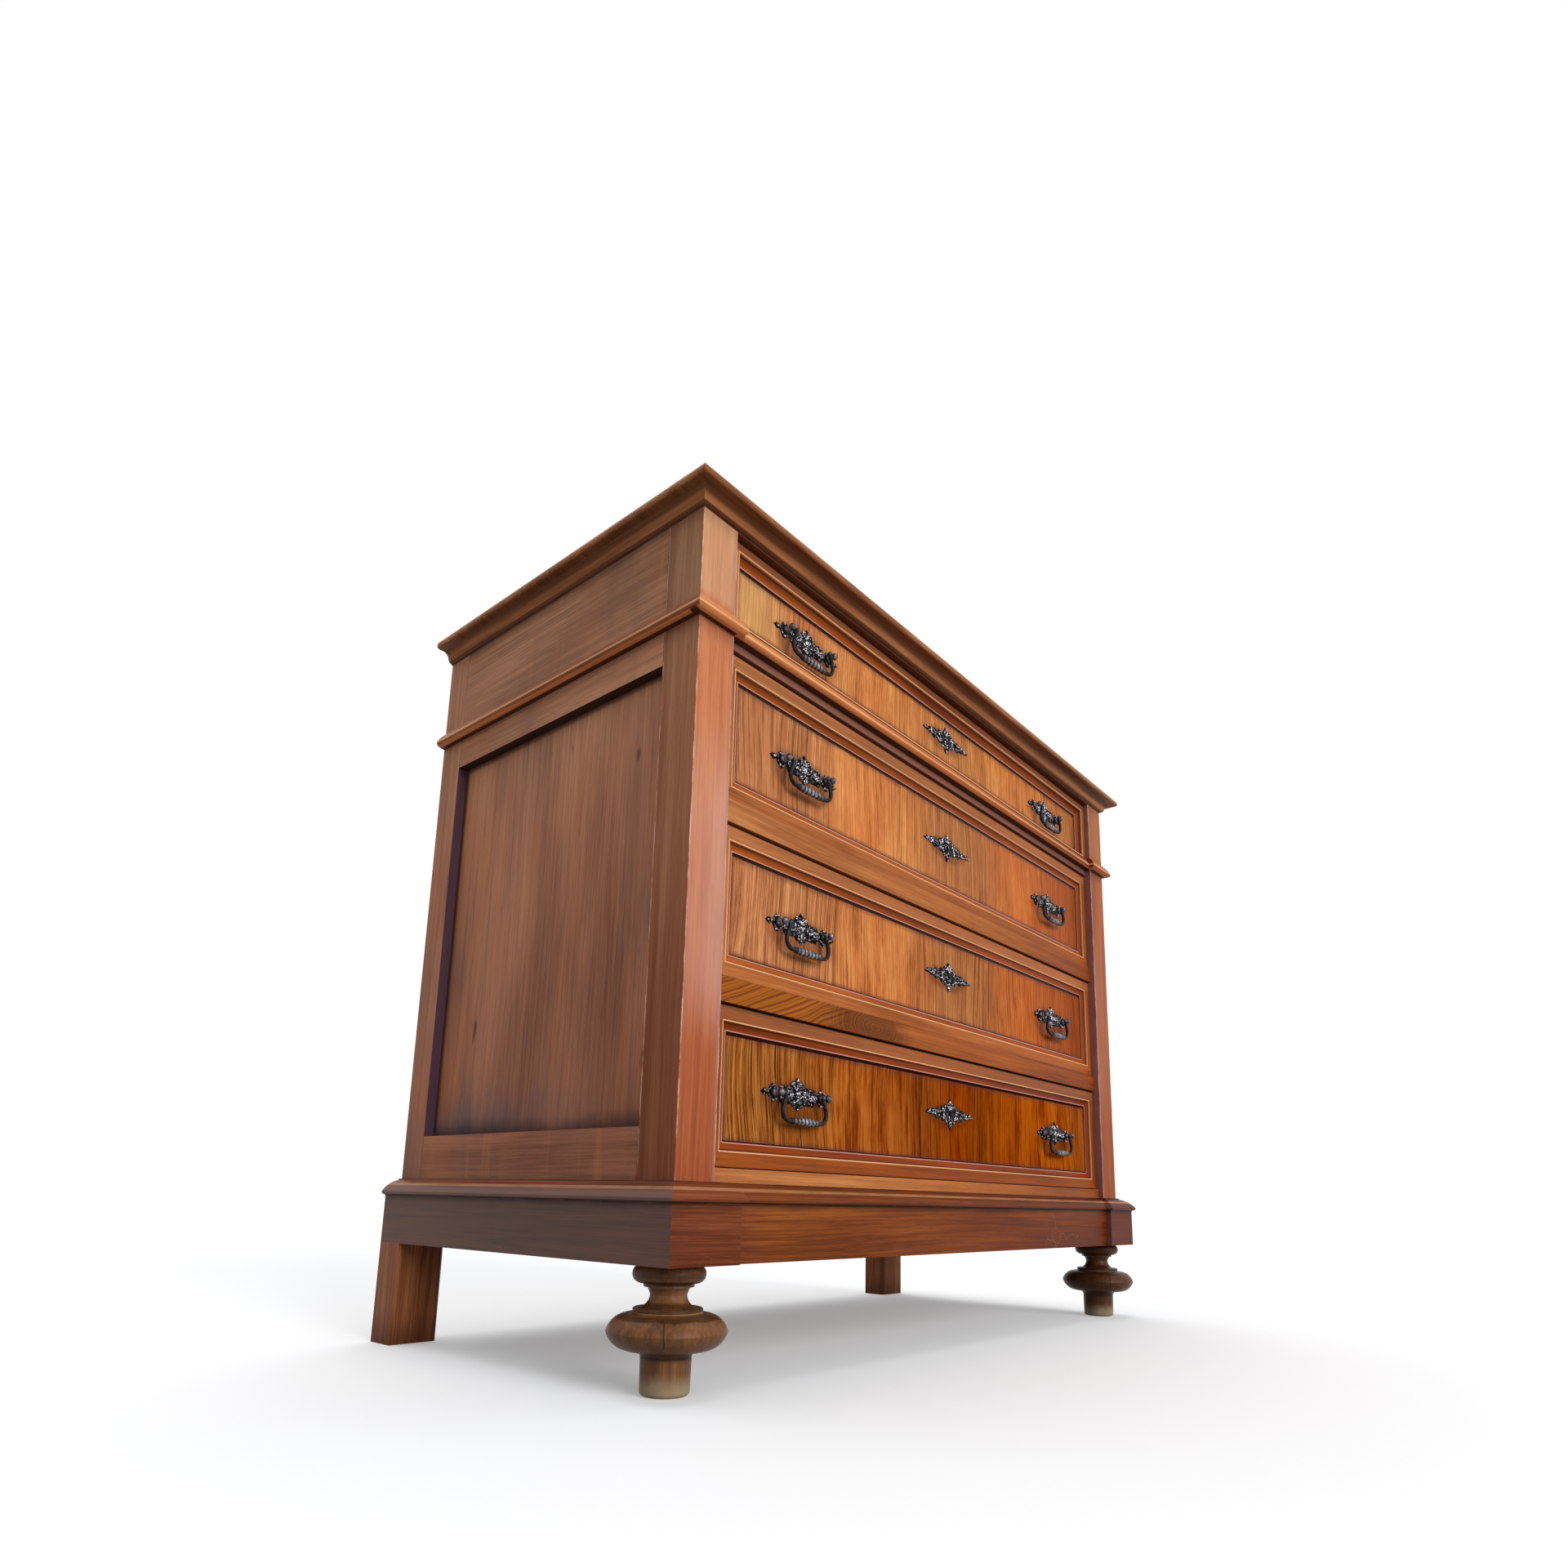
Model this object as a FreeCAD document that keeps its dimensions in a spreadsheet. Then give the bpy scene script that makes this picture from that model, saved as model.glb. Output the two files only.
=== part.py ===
# Walnut chest of four drawers: carcass, mouldings, feet, drawers, locks and bail pulls.
# Millimetres. +Z is up, the drawers face -Y, and the origin lies on the floor under the middle.
import FreeCAD, Part
import os
import re
import Sketcher

# Driving sizes
SIZES = {
    # Carcass and its frame
    "carcass_width": 1124.6,
    "carcass_depth": 543.0,
    "post_width": 56.4,
    "post_depth": 58.0,
    "rear_post_width": 40.0,
    "rear_post_depth": 47.4,
    "side_thickness": 24.0,
    "side_foot_rail_height": 78.8,
    "side_head_rail_height": 54.65,
    "side_panel_recess": 14.0,
    "side_panel_thickness": 10.0,
    "groove_depth": 9.0,
    "panel_play": 0.3,
    "tenon_length": 24.0,
    "back_tenon_length": 14.0,
    "tenon_play": 0.2,
    "side_tenon_shoulder": 10.0,
    "rail_tenon_thickness": 20.0,
    "rail_tenon_setback": 14.0,
    "rail_tenon_shoulder": 3.0,
    # Front rails and the openings between them, numbered from the top
    "rail_setback": 9.0,
    "foot_rail_height": 38.2,
    "lower_rail_height": 28.5,
    "middle_rail_height": 27.5,
    "waist_rail_height": 35.0,
    "head_rail_height": 17.0,
    "opening_height_1": 112.0,
    "opening_height_2": 186.5,
    "opening_height_3": 181.5,
    "opening_height_4": 181.2,
    # Back
    "back_board_thickness": 10.0,
    "back_board_inset": 3.0,
    "back_board_gap": 0.6,
    "back_board_count": 6,
    "back_rail_height": 60.0,
    "back_rail_thickness": 22.0,
    "back_tenon_shoulder": 4.0,
    # Top and its mouldings
    "top_thickness": 15.0,
    "top_overhang": 27.5,
    "top_nose_radius": 10.5,
    "top_foot_radius": 4.0,
    "cornice_height": 16.2,
    "cornice_reach": 21.0,
    "cornice_foot_reach": 6.0,
    "cornice_foot_rise": 3.2,
    "cornice_shoulder_reach": 8.3,
    "cornice_shoulder_height": 9.5,
    "waist_band_height": 9.6,
    "waist_height": 24.6,
    "waist_reach": 13.0,
    "waist_soffit_reach": 8.5,
    "waist_soffit_rise": 1.6,
    "waist_nose_rise": 8.2,
    "waist_tip_reach": 1.2,
    "base_height": 22.7,
    "base_reach": 26.5,
    "base_nose_height": 6.0,
    "base_nose_undercut": 2.2,
    "base_fillet_reach": 1.2,
    "base_fillet_height": 1.6,
    "base_ledge_reach": 4.5,
    "base_ledge_drop": 1.8,
    "mitre_spare": 2.0,
    # Plinth and feet
    "plinth_height": 60.8,
    "plinth_projection": 20.9,
    "plinth_thickness": 30.0,
    "plinth_seam_setback": 222.0,
    "glue_block_size": 68.0,
    "foot_height": 126.8,
    "foot_centre_inset": 27.0,
    "foot_centre_setback": 29.9,
    "foot_sole_radius": 21.5,
    "foot_sole_height": 4.5,
    "foot_sole_taper": 0.6,
    "foot_shank_radius": 26.0,
    "foot_shank_height": 37.0,
    "foot_shank_flare": 9.0,
    "foot_shank_flare_height": 7.0,
    "foot_bulb_radius": 61.8,
    "foot_bulb_height": 62.0,
    "foot_ring_radius": 34.5,
    "foot_ring_height": 80.5,
    "foot_ring_flare": 2.5,
    "foot_ring_flare_height": 2.0,
    "foot_ring_thickness": 4.0,
    "foot_ring_taper": 1.0,
    "foot_neck_radius": 19.0,
    "foot_neck_height": 97.0,
    "foot_neck_seat": 9.0,
    "foot_neck_swell": 3.5,
    "foot_cap_radius": 29.0,
    "foot_cap_height": 18.5,
    "foot_cap_step": 3.0,
    "foot_cap_step_height": 3.5,
    "foot_cap_flare": 1.0,
    "foot_dowel_radius": 11.0,
    "foot_dowel_length": 34.0,
    "foot_dowel_play": 0.2,
    "rear_foot_width": 66.0,
    "rear_foot_depth": 47.4,
    "rear_foot_chamfer": 4.0,
    # Drawer runners and guides
    "runner_height": 20.0,
    "runner_inner_half": 478.0,
    "guide_height": 18.0,
    "stop_half_spacing": 300.0,
    "stop_width": 40.0,
    "stop_depth": 14.0,
    "stop_height": 6.0,
    "stop_gap": 0.3,
    "drawer_slide_play": 0.3,
    # Drawers
    "drawer_side_gap": 1.2,
    "drawer_floor_gap": 1.2,
    "drawer_head_gap": 2.6,
    "drawer_setback": 13.0,
    "top_drawer_setback": 8.5,
    "field_setback": 20.0,
    "front_thickness": 22.0,
    "frame_flat": 17.5,
    "top_frame_flat": 12.0,
    "top_frame_foot_flat": 2.0,
    "frame_moulding": 10.5,
    "frame_quirk": 1.4,
    "frame_lip": 1.0,
    "drawer_box_setback": 482.0,
    "drawer_side_thickness": 14.0,
    "drawer_side_drop": 8.0,
    "drawer_back_thickness": 12.0,
    "drawer_back_drop": 14.0,
    "drawer_bottom_thickness": 8.0,
    "drawer_bottom_rise": 9.0,
    "drawer_groove_depth": 6.0,
    "front_lap": 7.0,
    "dovetail_pitch": 36.0,
    "dovetail_pin_width": 9.0,
    "dovetail_flare": 3.0,
    # Locks
    "keyhole_radius": 2.9,
    "keyhole_slot_width": 2.6,
    "keyhole_slot_length": 8.5,
    "keyhole_rise_1": -4.0,
    "keyhole_rise_2": -1.0,
    "keyhole_rise_3": 4.0,
    "keyhole_rise_4": 6.0,
    "lock_width": 64.0,
    "lock_height": 50.0,
    "lock_thickness": 12.0,
    "lock_let_in": 8.0,
    "lock_wall": 1.5,
    "lock_pin_radius": 1.2,
    "bolt_width": 14.0,
    "bolt_thickness": 4.0,
    "bolt_tail_width": 30.0,
    "bolt_tail_height": 10.0,
    "bolt_tail_rise": 4.0,
    "bolt_top_drop": 0.5,
    "bolt_throw": 8.0,
    "bolt_play": 0.5,
    "bolt_guide_width": 34.0,
    "bolt_guide_height": 14.0,
    "bolt_guide_drop": 6.0,
    # Bail pulls
    "handle_half_spacing": 350.0,
    "handle_rise_1": -9.0,
    "handle_rise_2": -4.0,
    "handle_rise_3": -4.0,
    "handle_rise_4": 0.0,
    "plate_thickness": 2.5,
    "plate_half_length": 66.0,
    "plate_band_half": 7.5,
    "plate_band_end": 33.0,
    "plate_crest_height": 22.5,
    "plate_crest_half": 12.0,
    "plate_crest_rise": 5.0,
    "plate_crest_shoulder": 2.0,
    "plate_pendant_depth": 19.0,
    "plate_pendant_half": 10.0,
    "leaf_inner_distance": 36.5,
    "leaf_stem_half": 3.5,
    "leaf_middle_distance": 45.0,
    "leaf_half_height": 11.4,
    "leaf_outer_distance": 54.0,
    "bud_neck_half": 2.2,
    "bud_middle_distance": 59.0,
    "bud_half_height": 4.4,
    "post_half_spacing": 44.0,
    "post_stand_off": 13.0,
    "post_stem_radius": 3.0,
    "post_knob_radius": 4.6,
    "post_collar_radius": 5.4,
    "post_collar_length": 2.5,
    "stud_radius": 2.0,
    "stud_hole_play": 0.4,
    "stud_tail": 7.0,
    "nut_width": 9.0,
    "nut_thickness": 4.0,
    "nut_play": 0.1,
    "pivot_radius": 1.6,
    "pivot_play": 0.08,
    "pivot_depth": 3.6,
    "pivot_end_gap": 0.4,
    "bail_top_half": 34.5,
    "bail_half_width": 40.5,
    "bail_drop": 32.0,
    "bail_wire_radius": 2.4,
    "bail_corner_radius": 11.0,
    "bail_eye_radius": 3.0,
    "grip_radius": 3.6,
    "grip_bead_radius": 5.0,
    "grip_bead_half": 3.2,
    # Escutcheons
    "escutcheon_half_length": 66.0,
    "escutcheon_half_height": 22.5,
    "escutcheon_thickness": 2.2,
    "escutcheon_peak_half": 5.0,
    "escutcheon_peak_rise": 2.0,
    "escutcheon_shoulder_half": 15.0,
    "escutcheon_shoulder_height": 11.0,
    "escutcheon_arm_half": 6.5,
    "escutcheon_arm_start": 27.0,
    "escutcheon_arm_distance": 44.0,
    "escutcheon_point_distance": 52.0,
    "escutcheon_point_half": 2.0,
}

DRAWERS = (1, 2, 3, 4)
SIDES = {"left": -1, "right": 1}

# How far an arc of an outline swells: its rise over half its chord
FLAT = 0.1
SOFT = 0.2
EVEN = 0.3
ROUND = 0.38
FULL = 0.5
HALF_ROUND = 0.9

# How the end of a moulding meets the next length: at an outside corner, an inside one, or square
OUTER = 1
INNER = -1
SQUARE = 0

# Edges this close to a face of the top board count as lying on it
EDGE_TOLERANCE = 0.01

# Places that follow from the sizes
PLACES = {
    "half_width": "carcass_width/2",
    "foot_reach": "foot_bulb_radius - foot_centre_setback",
    "face_y": "-(carcass_depth - foot_reach)/2",
    "back_y": "face_y + carcass_depth",
    "rail_y": "face_y + rail_setback",
    "post_back_y": "face_y + post_depth",
    "rear_post_y": "back_y - rear_post_depth",
    "post_inner": "half_width - post_width",
    "side_inner": "half_width - side_thickness",
    "rear_post_inner": "half_width - rear_post_width",
    "plinth_top": "foot_height + plinth_height",
    "plinth_half": "half_width + plinth_projection",
    "plinth_inward": "plinth_thickness - plinth_projection",
    "block_inner": "post_inner - plinth_projection",
    "foot_x": "half_width - foot_centre_inset",
    "foot_y": "face_y + foot_centre_setback",
    "floor_4": "plinth_top + foot_rail_height",
    "head_4": "floor_4 + opening_height_4",
    "floor_3": "head_4 + lower_rail_height",
    "head_3": "floor_3 + opening_height_3",
    "floor_2": "head_3 + middle_rail_height",
    "head_2": "floor_2 + opening_height_2",
    "floor_1": "head_2 + waist_rail_height",
    "head_1": "floor_1 + opening_height_1",
    "top_z": "head_1 + head_rail_height",
    "waist_z": "head_2 + waist_band_height",
    "side_joint_z": "waist_z + waist_height/2",
    "panel_foot_z": "plinth_top + side_foot_rail_height",
    "panel_head_z": "side_joint_z - side_head_rail_height",
    "panel_outer": "half_width - side_panel_recess",
    "panel_inner": "panel_outer - side_panel_thickness",
    "back_board_y": "back_y - back_board_inset - back_board_thickness",
    "front_half": "post_inner - drawer_side_gap",
    "field_y": "face_y + field_setback",
    "front_back_y": "field_y + front_thickness",
    "box_back_y": "face_y + drawer_box_setback",
    "lock_y": "front_back_y - lock_let_in",
    "bolt_y": "lock_y + lock_wall + bolt_play",
    "pivot_y": "field_y - post_stand_off",
}
for drawer in DRAWERS:
    PLACES[f"front_foot_{drawer}"] = f"floor_{drawer} + drawer_floor_gap"
    PLACES[f"front_head_{drawer}"] = f"head_{drawer} - drawer_head_gap"
    PLACES[f"keyhole_z_{drawer}"] = f"(floor_{drawer} + head_{drawer})/2 + keyhole_rise_{drawer}"
    PLACES[f"handle_z_{drawer}"] = f"(floor_{drawer} + head_{drawer})/2 + handle_rise_{drawer}"

document = FreeCAD.newDocument("chest_of_drawers")
sizes = document.addObject("Spreadsheet::Sheet", "Sizes")
places = document.addObject("Spreadsheet::Sheet", "Places")
nodes = []


def linked(text, inside=False):
    """Point each size or place named in an expression at its sheet."""
    def point(match):
        word = match.group(0)
        if word in SIZES:
            return "Sizes." + word
        if word in PLACES and not inside:
            return "Places." + word
        return word
    return re.sub(r"[A-Za-z_]\w*", point, text)


def fill_sheets():
    """Write the driving sizes as plain numbers and the places as formulas."""
    for row, (alias, number) in enumerate(SIZES.items(), start=1):
        sizes.set(f"A{row}", alias)
        sizes.set(f"B{row}", str(number))
        sizes.setAlias(f"B{row}", alias)
    document.recompute()
    for row, alias in enumerate(PLACES, start=1):
        places.set(f"A{row}", alias)
        places.setAlias(f"B{row}", alias)
    for row, formula in enumerate(PLACES.values(), start=1):
        places.set(f"B{row}", "=" + linked(formula, inside=True))
    document.recompute()


def value(text):
    """Work out an expression from the sheets."""
    return float(sizes.evalExpression(linked(text)))


def bind(item, setting, text):
    item.setExpression(setting, linked(text))


def move_to(item, x, y, z):
    """Tie an object's position to three expressions."""
    bind(item, "Placement.Base.x", x)
    bind(item, "Placement.Base.y", y)
    bind(item, "Placement.Base.z", z)


def turn(item, axis, degrees):
    """Turn an object about an axis through its own origin."""
    item.Placement = FreeCAD.Placement(FreeCAD.Vector(), FreeCAD.Rotation(axis, degrees))


def node(item, label):
    """Hand an object over as one sub-part of the chest."""
    item.Label = label
    nodes.append(item)
    return item


# Solids from straight boards, cylinders and booleans

def board(name, across, along, up):
    """A straight board between two expressions on each axis."""
    item = document.addObject("Part::Box", name)
    bind(item, "Length", f"({across[1]}) - ({across[0]})")
    bind(item, "Width", f"({along[1]}) - ({along[0]})")
    bind(item, "Height", f"({up[1]}) - ({up[0]})")
    move_to(item, across[0], along[0], up[0])
    return item


def rod(name, radius, length, start, axis=FreeCAD.Vector(0, 0, 1), degrees=0):
    """A cylinder that starts at a point and runs along its turned Z axis."""
    item = document.addObject("Part::Cylinder", name)
    bind(item, "Radius", radius)
    bind(item, "Height", length)
    turn(item, axis, degrees)
    move_to(item, *start)
    return item


def ball(name, radius, centre):
    item = document.addObject("Part::Sphere", name)
    bind(item, "Radius", radius)
    move_to(item, *centre)
    return item


def fuse(name, shapes):
    item = document.addObject("Part::MultiFuse", name)
    item.Shapes = shapes
    return item


def cut(name, base, tools):
    """Cut one or more tools out of a base."""
    item = document.addObject("Part::Cut", name)
    item.Base = base
    item.Tool = tools[0] if len(tools) == 1 else fuse(name + "_tools", tools)
    return item


def group(name, members):
    """Several separate solids that count as one sub-part."""
    item = document.addObject("Part::Compound", name)
    item.Links = members
    return item


def span(side, near, far):
    """The X range of a piece between two distances from the middle, on one side."""
    if side < 0:
        return f"-({far})", f"-({near})"
    return near, far


def signed(side, distance):
    return f"{side}*({distance})"


# Solids from sketches

def sketch_on(body, role, name):
    """A sketch on one of the body's own origin planes."""
    plane = [item for item in body.Origin.OriginFeatures if item.Role == role][0]
    sketch = body.newObject("Sketcher::SketchObject", name)
    sketch.AttachmentSupport = (plane, [""])
    sketch.MapMode = "FlatFace"
    return sketch


def outline(sketch, points, closed=True):
    """Draw an outline through points, each two expressions and an optional bulge.

    A bulge is the rise of the arc to the next point over half its chord, a number or an
    expression, positive where the arc lies to the left of the way to the next point.
    """
    corners = [FreeCAD.Vector(value(point[0]), value(point[1]), 0) for point in points]
    rules = []
    edges = []
    for index, point in enumerate(points if closed else points[:-1]):
        start = corners[index]
        end = corners[(index + 1) % len(points)]
        bulge = point[2] if len(point) > 2 else 0
        rise = value(str(bulge))
        if rise == 0:
            edges.append((sketch.addGeometry(Part.LineSegment(start, end), False), 1, 2))
            continue
        after = points[(index + 1) % len(points)]
        middle_x = f"(({point[0]}) + ({after[0]}))/2 - {bulge}*(({after[1]}) - ({point[1]}))/2"
        middle_y = f"(({point[1]}) + ({after[1]}))/2 + {bulge}*(({after[0]}) - ({point[0]}))/2"
        middle = FreeCAD.Vector(value(middle_x), value(middle_y), 0)
        if rise > 0:
            arc = sketch.addGeometry(Part.Arc(end, middle, start), False)
            edges.append((arc, 2, 1))
        else:
            arc = sketch.addGeometry(Part.Arc(start, middle, end), False)
            edges.append((arc, 1, 2))
        mark = sketch.addGeometry(Part.Point(middle), True)
        rules.append((Sketcher.Constraint("DistanceX", -1, 1, mark, 1, middle.x), middle_x))
        rules.append((Sketcher.Constraint("DistanceY", -1, 1, mark, 1, middle.y), middle_y))
        rules.append((Sketcher.Constraint("PointOnObject", mark, 1, arc), None))
    ends = [(edge, first) for edge, first, _ in edges]
    if not closed:
        ends.append((edges[-1][0], edges[-1][2]))
    for corner, point, (edge, end) in zip(corners, points, ends):
        rules.append((Sketcher.Constraint("DistanceX", -1, 1, edge, end, corner.x), point[0]))
        rules.append((Sketcher.Constraint("DistanceY", -1, 1, edge, end, corner.y), point[1]))
    for index, (edge, _, last) in enumerate(edges if closed else edges[:-1]):
        follower, follower_first, _ = edges[(index + 1) % len(edges)]
        rules.append((Sketcher.Constraint("Coincident", edge, last, follower, follower_first), None))
    begin = sketch.ConstraintCount
    sketch.addConstraint([rule for rule, _ in rules])
    for offset, (_, text) in enumerate(rules):
        if text is not None:
            sketch.setExpression(f"Constraints[{begin + offset}]", linked(text))


def padded(name, role, points, length):
    """A body padded to both sides of an origin plane from one closed outline."""
    body = document.addObject("PartDesign::Body", name)
    sketch = sketch_on(body, role, name + "_profile")
    outline(sketch, points)
    pad = body.newObject("PartDesign::Pad", name + "_pad")
    pad.Profile = sketch
    pad.SideType = "Symmetric"
    bind(pad, "Length", length)
    return body


def pocketed(body, role, outlines, name):
    """Cut closed outlines right through a body, to both sides of an origin plane."""
    sketch = sketch_on(body, role, name + "_cut")
    for points in outlines:
        outline(sketch, points)
    pocket = body.newObject("PartDesign::Pocket", name + "_pocket")
    pocket.Profile = sketch
    pocket.Type = "ThroughAll"
    pocket.SideType = "Symmetric"
    return body


def turned(name, points):
    """A body turned about its own Z axis from one closed outline of radius and height."""
    body = document.addObject("PartDesign::Body", name)
    sketch = sketch_on(body, "XZ_Plane", name + "_profile")
    outline(sketch, points)
    lathe = body.newObject("PartDesign::Revolution", name + "_turning")
    lathe.Profile = sketch
    lathe.ReferenceAxis = (sketch, ["V_Axis"])
    lathe.Angle = 360
    return body


def end_cut(direction, kind, length, reach, inward):
    """The waste beyond one end of a moulding, seen from above."""
    wall = f"({length})/2"
    deep = f"({inward}) + mitre_spare"
    proud = f"({reach}) + mitre_spare"
    far = f"{wall} + ({reach}) + ({inward}) + 2*mitre_spare"
    corners = [
        (f"{wall} - {kind}*({deep})", deep),
        (f"{wall} + {kind}*({proud})", f"-({proud})"),
        (far, f"-({proud})"),
        (far, deep),
    ]
    return [(f"{direction}*({x})", y) for x, y in corners]


def moulding(name, profile, length, reach, ends, quarter_turns, wall, inward="0"):
    """One length of moulding with its ends mitred.

    The profile stands on the wall line, out towards -Y before the length is turned about Z
    by quarter turns and moved so that the middle of its wall line lies at the given place.
    """
    stock = f"({length}) + 2*({reach}) + 2*({inward})"
    body = padded(name, "YZ_Plane", profile, stock)
    waste = [end_cut(-1, ends[0], length, reach, inward), end_cut(1, ends[1], length, reach, inward)]
    pocketed(body, "XY_Plane", waste, name)
    turn(body, FreeCAD.Vector(0, 0, 1), 90*quarter_turns)
    move_to(body, *wall)
    return body


def moulding_round_front(name, profile, reach, height):
    """A moulding along both sides that breaks forward round each front post."""
    lengths = []
    depth_middle = "(face_y + back_y)/2"
    post_middle = "(half_width + post_inner)/2"
    return_middle = "(face_y + rail_y)/2"
    for word, side in SIDES.items():
        run_ends = (SQUARE, OUTER) if side < 0 else (OUTER, SQUARE)
        return_ends = (OUTER, INNER) if side < 0 else (INNER, OUTER)
        lengths.append(moulding(f"{name}_side_{word}", profile, "carcass_depth", reach, run_ends,
                                side, (signed(side, "half_width"), depth_middle, height)))
        lengths.append(moulding(f"{name}_post_{word}", profile, "post_width", reach, (OUTER, OUTER),
                                0, (signed(side, post_middle), "face_y", height)))
        lengths.append(moulding(f"{name}_return_{word}", profile, "rail_setback", reach, return_ends,
                                -side, (signed(side, "post_inner"), return_middle, height)))
    lengths.append(moulding(f"{name}_middle", profile, "2*post_inner", reach, (INNER, INNER),
                            0, ("0", "rail_y", height)))
    return group(name, lengths)


# Carcass

# Front rails from the foot up: front face, foot, head, and the drawer under it if there is one
FRONT_RAILS = {
    "front_rail_foot": ("rail_y", "plinth_top", "floor_4", None),
    "front_rail_lower": ("rail_y", "head_4", "floor_3", 4),
    "front_rail_middle": ("rail_y", "head_3", "floor_2", 3),
    "front_rail_waist": ("rail_y", "head_2", "floor_1", 2),
    "front_rail_head": ("face_y", "head_1", "top_z", 1),
}
# Side rails: foot, head, and the foot and head of the tenon beside the groove
SIDE_RAILS = {
    "side_foot_rail": ("plinth_top", "panel_foot_z",
                       "plinth_top + side_tenon_shoulder", "panel_foot_z - groove_depth"),
    "side_head_rail": ("panel_head_z", "side_joint_z",
                       "panel_head_z + groove_depth", "side_joint_z - side_tenon_shoulder"),
}
BACK_RAILS = {
    "back_rail_foot": ("plinth_top", "plinth_top + back_rail_height"),
    "back_rail_head": ("top_z - back_rail_height", "top_z"),
}


def widened(limits):
    """The room that a tenon needs between two expressions."""
    return f"({limits[0]}) - tenon_play", f"({limits[1]}) + tenon_play"


def mortise(name, limits):
    """The hole that takes a tenon of these three ranges."""
    return board(f"{name}_mortise", *[widened(pair) for pair in limits])


def front_tenon(rail, side):
    """The three ranges of the tenon at one end of a front rail."""
    front, foot, head, _ = FRONT_RAILS[rail]
    cheek = f"{front} + rail_tenon_setback"
    return (span(side, "post_inner", "post_inner + tenon_length"),
            (cheek, f"{cheek} + rail_tenon_thickness"),
            (f"{foot} + rail_tenon_shoulder", f"{head} - rail_tenon_shoulder"))


def side_tenons(rail, side):
    """The ranges of a side rail's tenons, into the front post and into the rear post."""
    _, _, foot, head = SIDE_RAILS[rail]
    across = span(side, "panel_inner", "panel_outer")
    return ((across, ("post_back_y - tenon_length", "post_back_y"), (foot, head)),
            (across, ("rear_post_y", "rear_post_y + tenon_length"), (foot, head)))


def back_tenon(rail, side):
    """The three ranges of the tenon at one end of a back rail."""
    foot, head = BACK_RAILS[rail]
    return (span(side, "rear_post_inner", "rear_post_inner + back_tenon_length"),
            ("back_board_y - back_rail_thickness + back_tenon_shoulder",
             "back_board_y - back_tenon_shoulder"),
            (f"{foot} + back_tenon_shoulder", f"{head} - back_tenon_shoulder"))


def make_posts():
    """Four corner posts. Each is grooved for its side panel and mortised for the rails."""
    for word, side in SIDES.items():
        groove_x = span(side, "panel_inner - panel_play", "panel_outer + panel_play")
        groove_z = ("panel_foot_z - groove_depth", "panel_head_z + groove_depth")
        name = f"post_front_{word}"
        blank = board(f"{name}_blank", span(side, "post_inner", "half_width"),
                      ("face_y", "post_back_y"), ("plinth_top", "top_z"))
        tools = [board(f"{name}_groove", groove_x,
                       ("post_back_y - groove_depth", "post_back_y + mitre_spare"), groove_z)]
        for rail in FRONT_RAILS:
            tools.append(mortise(f"{name}_{rail}", front_tenon(rail, side)))
        for rail in SIDE_RAILS:
            tools.append(mortise(f"{name}_{rail}", side_tenons(rail, side)[0]))
        node(cut(name, blank, tools), name)
        name = f"post_rear_{word}"
        blank = board(f"{name}_blank", span(side, "rear_post_inner", "half_width"),
                      ("rear_post_y", "back_y"), ("plinth_top", "top_z"))
        tools = [board(f"{name}_groove", groove_x,
                       ("rear_post_y - mitre_spare", "rear_post_y + groove_depth"), groove_z)]
        for rail in SIDE_RAILS:
            tools.append(mortise(f"{name}_{rail}", side_tenons(rail, side)[1]))
        for rail in BACK_RAILS:
            tools.append(mortise(f"{name}_{rail}", back_tenon(rail, side)))
        node(cut(name, blank, tools), name)


def make_sides():
    """Each side: a flat frieze board over a frame with a sunk panel."""
    rails = []
    for word, side in SIDES.items():
        thickness = span(side, "side_inner", "half_width")
        groove_x = span(side, "panel_inner - panel_play", "panel_outer + panel_play")
        length = ("post_back_y", "rear_post_y")
        node(board(f"side_frieze_{word}", thickness, length, ("side_joint_z", "top_z")),
             f"side_frieze_{word}")
        for rail, (foot, head, _, _) in SIDE_RAILS.items():
            name = f"{rail}_{word}"
            blank = board(f"{name}_blank", thickness, length, (foot, head))
            tenons = [board(f"{name}_tenon_{end}", *limits)
                      for end, limits in enumerate(side_tenons(rail, side), start=1)]
            if rail == "side_foot_rail":
                groove_z = ("panel_foot_z - groove_depth", "panel_foot_z + mitre_spare")
            else:
                groove_z = ("panel_head_z - mitre_spare", "panel_head_z + groove_depth")
            groove = board(f"{name}_groove", groove_x, length, groove_z)
            rails.append(cut(name, fuse(f"{name}_tenoned", [blank] + tenons), [groove]))
        node(board(f"side_panel_{word}", span(side, "panel_inner", "panel_outer"),
                   ("post_back_y - groove_depth + panel_play", "rear_post_y + groove_depth - panel_play"),
                   ("panel_foot_z - groove_depth", "panel_head_z + groove_depth - panel_play")),
             f"side_panel_{word}")
    node(group("side_rails", rails), "side_rails")


def make_front_rails():
    """Five rails tenoned between the front posts. The four over a drawer take its lock bolt."""
    members = []
    for name, (front, foot, head, drawer) in FRONT_RAILS.items():
        blank = board(f"{name}_blank", ("-(post_inner)", "post_inner"), (front, "post_back_y"),
                      (foot, head))
        tenons = [board(f"{name}_tenon_{word}", *front_tenon(name, side))
                  for word, side in SIDES.items()]
        rail = fuse(f"{name}_tenoned", [blank] + tenons)
        if drawer is not None:
            hole = board(f"{name}_bolt_hole",
                         ("-(bolt_width/2 + bolt_play)", "bolt_width/2 + bolt_play"),
                         ("bolt_y - bolt_play", "bolt_y + bolt_thickness + bolt_play"),
                         (f"head_{drawer} - mitre_spare", f"head_{drawer} + bolt_throw"))
            rail = cut(name, rail, [hole])
        members.append(rail)
    node(group("front_rails", members), "front_rails")


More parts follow.
